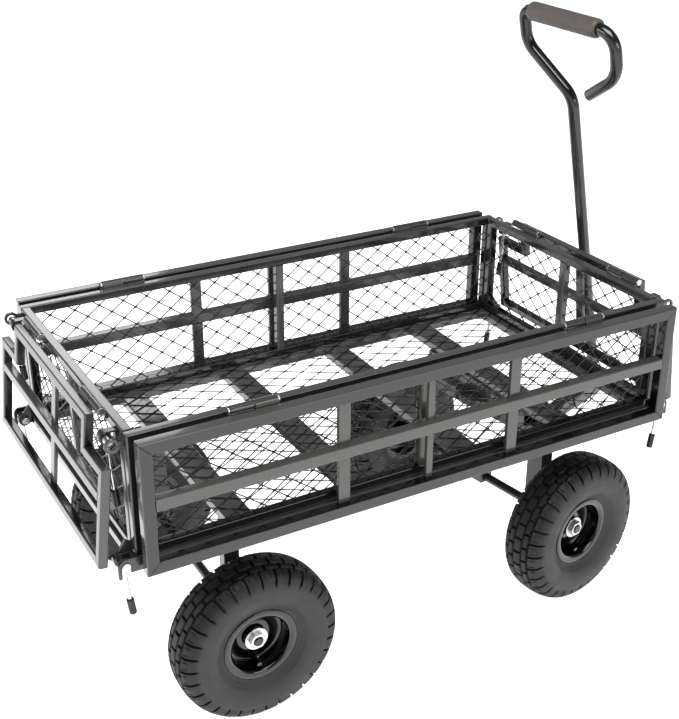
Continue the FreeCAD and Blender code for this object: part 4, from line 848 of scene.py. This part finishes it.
def rim_shells():
    """Pressed rim: a rolled lip each side, a stepped bead seat, a deep dish to the web and a cup round the
    hub, plus the hub tube and the valve stem. Each is a closed section in mm, (along the axle, radius)."""
    lip = [(28.4, 61.6), (27.2, 61.0), (27.0, 53.0), (24.0, 50.8), (-24.0, 50.8), (-27.0, 53.0), (-27.2, 61.0),
           (-28.4, 61.6), (-29.3, 60.2), (-29.5, 57.5), (-29.3, 54.5), (-28.4, 51.8), (-26.5, 49.2), (-24.0, 48.3),
           (-8.0, 48.1), (-6.2, 46.0), (-5.7, 40.0), (-4.4, 34.0), (-1.4, 31.0), (0.6, 28.0), (1.0, 24.0),
           (1.0, 17.0),
           (3.5, 17.0), (3.8, 24.0), (3.2, 28.0), (1.2, 31.0), (-1.8, 34.0), (-3.2, 40.0), (-2.8, 45.2),
           (-0.6, 47.9),
           (24.8, 48.3), (26.9, 49.6), (28.4, 51.8), (29.3, 54.5), (29.5, 57.5), (29.3, 60.2)]
    hub = [(-38, 8.05), (-38, 16.4), (-37.4, 17.0), (8.4, 17.0), (9.0, 16.4), (9.0, 8.05)]
    stem = [(-4.0, 0.01), (-4.0, 5.6), (0.5, 5.2), (3.0, 3.6), (14.0, 3.3), (14.2, 4.3), (21.0, 4.3),
            (21.5, 3.8), (21.5, 0.01)]
    zero = np.zeros(3)
    return [turned_ring(np.array(lip) / 1000, zero, Y, 96), turned_ring(np.array(hub) / 1000, zero, Y, 48),
            turned_ring(np.array(stem) / 1000, VALVE_SEAT, Y, 20, joined=False)]


def placed(shell, x, s, steer):
    """Wheel shell put on its axle: mirrored for the near side, moved out to the track and turned with the
    steering."""
    points, faces = shell
    out = points * (1, s, 1) + (0, s * TRACK_Y, WHEEL_R)
    if s < 0:
        faces = [f[:, ::-1] for f in faces]
    c, q = (math.cos(STEER), math.sin(STEER)) if steer else (1.0, 0.0)
    return np.stack([x + out[:, 0] * c - out[:, 1] * q, out[:, 0] * q + out[:, 1] * c, out[:, 2]], 1), faces


(tyre_form, tread_shade_mask), rim_form = tyre_shell(), rim_shells()
for end, x in (("rear", REAR_X), ("front", KINGPIN_X)):
    for side, s in (("near", -1), ("far", 1)):
        stem = end + "_" + side
        steered = end == "front"
        tyre = piece(stem + "_block_tyre", [placed(tyre_form, x, s, steered)], tyre_rubber, stem + "_wheel",
                     [stem + "_tyre"], flat_angle=50.0, even=False)
        # The tread value is painted shade in the rubber's colour.
        tread_shade_attribute = tyre.data.attributes.new("tread", "FLOAT", "POINT")
        tread_shade_attribute.data.foreach_set("value", tread_shade_mask.astype(np.float32))
        piece(stem + "_dished_rim", [placed(shell, x, s, steered) for shell in rim_form], rim_enamel,
              stem + "_wheel", [stem + "_rim"], flat_angle=40.0)

# ---- handle ------------------------------------------------
# One bent 21 mm tube: a straight shaft, a turn out to the loop, a cross bar and a free end that
# comes back under it. A foam sleeve is pushed on to the cross bar.

TUBE_R, FOAM_R = 0.0105, 0.0165
TUBE_WALL, BORE_DEPTH = 0.002, 0.012
LEAN = math.radians(13.4)
REACH, PIVOT_Z = 0.3236, 0.225
HANDLE_POINTS = ((0, -0.016), (0, 0.618), (0.097, 0.702), (0.097, 0.763), (-0.1025, 0.749), (-0.1025, 0.672),
                 (-0.038, 0.629))
HANDLE_BENDS = (0.045, 0.045, 0.016, 0.035, 0.050)
FOAM_ENDS = (0.0795, -0.069)


def bent_line(points, radii, steps=14):
    """Line through flat points with an arc of the given radius at each inner one, tangent to both runs. The
    arc's centre lies on the bisector, the radius over the sine of the half angle away."""
    p = np.asarray(points, float)
    out = [p[:1]]
    for i, r in enumerate(radii, 1):
        a, b = p[i - 1] - p[i], p[i + 1] - p[i]
        a, b = a / np.linalg.norm(a), b / np.linalg.norm(b)
        half = math.acos(np.clip(a @ b, -1, 1)) / 2
        middle = (a + b) / np.linalg.norm(a + b)
        centre = p[i] + middle * r / math.sin(half)
        v0, v1 = p[i] + a * r / math.tan(half) - centre, p[i] + b * r / math.tan(half) - centre
        sweep = math.acos(np.clip(v0 @ v1 / r / r, -1, 1))
        t = np.linspace(0, 1, steps)[:, None]
        out.append(centre + (np.sin((1 - t) * sweep) * v0 + np.sin(t * sweep) * v1) / math.sin(sweep))
    out.append(p[-1:])
    return np.concatenate(out)


def on_handle(flat):
    """Handle's own (lateral, along, forward) coordinates put on the cart: leaned back, moved to the pivot
    and steered."""
    y, w, d = flat[..., 0], flat[..., 1], flat[..., 2]
    x = -w * math.sin(LEAN) + d * math.cos(LEAN) + REACH
    z = w * math.cos(LEAN) + d * math.sin(LEAN) + PIVOT_Z
    c, s = math.cos(STEER), math.sin(STEER)
    return np.stack([KINGPIN_X + x * c - y * s, x * s + y * c, z], -1)


def round_tube(line, radius, segments=28):
    """Circle of a radius, or of one radius per point, carried square to a flat line. The line lies in the
    handle's plane, so one axis of the circle is always the plane's normal."""
    step = np.gradient(line, axis=0)
    step /= np.linalg.norm(step, axis=1, keepdims=True)
    side = np.stack([step[:, 1], -step[:, 0]], 1)
    angle = np.arange(segments) * 2 * np.pi / segments
    radius = np.broadcast_to(radius, (len(line),))[:, None]
    flat = line[:, None] + (radius * np.cos(angle))[..., None] * side[:, None]
    rise = radius * np.sin(angle)
    return on_handle(np.concatenate([flat, rise[..., None]], -1))


line = bent_line(HANDLE_POINTS, HANDLE_BENDS)
outer = round_tube(line, TUBE_R)
back = line[-2] - line[-1]
recess = line[-1] + back / np.linalg.norm(back) * BORE_DEPTH
bore = round_tube(np.stack([recess, line[-1]]), TUBE_R - TUBE_WALL)
piece("handle_bent_tube", [skin(np.concatenate([outer, bore[::-1]]))], gloss_powder, "handle",
      ["handle_tube"], flat_angle=50.0)

# Closed-cell foam rubber: a warm dark grey, dull and finely pitted, paler in patches where it is worn.
CELL_MM = 1.6           # the real cells are finer than half a millimetre; they are drawn coarser, to show
WEAR_MM = 12.0

foam_rubber, tree = empty_material("closed_cell_foam_rubber")
where = add_node(tree, "ShaderNodeTexCoord")
cells = add_node(tree, "ShaderNodeTexVoronoi", {"Vector": where.outputs["Object"], "Scale": 1000 / CELL_MM})
cloud = add_node(tree, "ShaderNodeTexNoise", {"Vector": where.outputs["Object"], "Scale": 1000 / WEAR_MM,
                                              "Detail": 4.0})
tone = add_node(tree, "ShaderNodeMix", {0: cloud.outputs["Fac"], 6: linear("#46413d"), 7: linear("#57514d")},
                data_type="RGBA")
bump = add_node(tree, "ShaderNodeBump", {"Height": cells.outputs["Distance"], "Strength": 0.35,
                                         "Distance": 0.0004})
shade = add_node(tree, "ShaderNodeBsdfPrincipled",
                 {"Base Color": tone.outputs[2], "Roughness": 0.5, "IOR": 1.48, "Sheen Weight": 0.1,
                  "Sheen Roughness": 0.5, "Normal": bump.outputs["Normal"]})
add_node(tree, "ShaderNodeOutputMaterial", {"Surface": shade.outputs["BSDF"]})

FOAM_LENGTH = 0.150
END_ROUND, END_SHRINK = 0.0022, 0.10     # the cut ends are squeezed in by a tenth of the radius
SLACK = 0.012                           # the sleeve's gentle waves, as a share of its radius
FIT = 0.0001

a, b = np.array(HANDLE_POINTS[3]), np.array(HANDLE_POINTS[4])
t = np.linspace(0, 1, 60)
lateral = FOAM_ENDS[0] + (FOAM_ENDS[1] - FOAM_ENDS[0]) * t
line = a + (b - a) * ((a[0] - lateral) / (a[0] - b[0]))[:, None]
span = np.minimum(t, 1 - t) * FOAM_LENGTH
swell = 1 - END_SHRINK * np.exp(-(span / END_ROUND) ** 2) - SLACK * np.cos(t * 9.0) ** 2
grip = round_tube(line, FOAM_R * swell, 40)
ends = round_tube(line[[0, -1]], TUBE_R + FIT, 40)
sleeve = skin(np.concatenate([ends[:1], grip, ends[1:]]), joined=True)
piece("foam_sleeve", [sleeve], foam_rubber, "handle", ["foam_grip"], flat_angle=60.0, even=False)
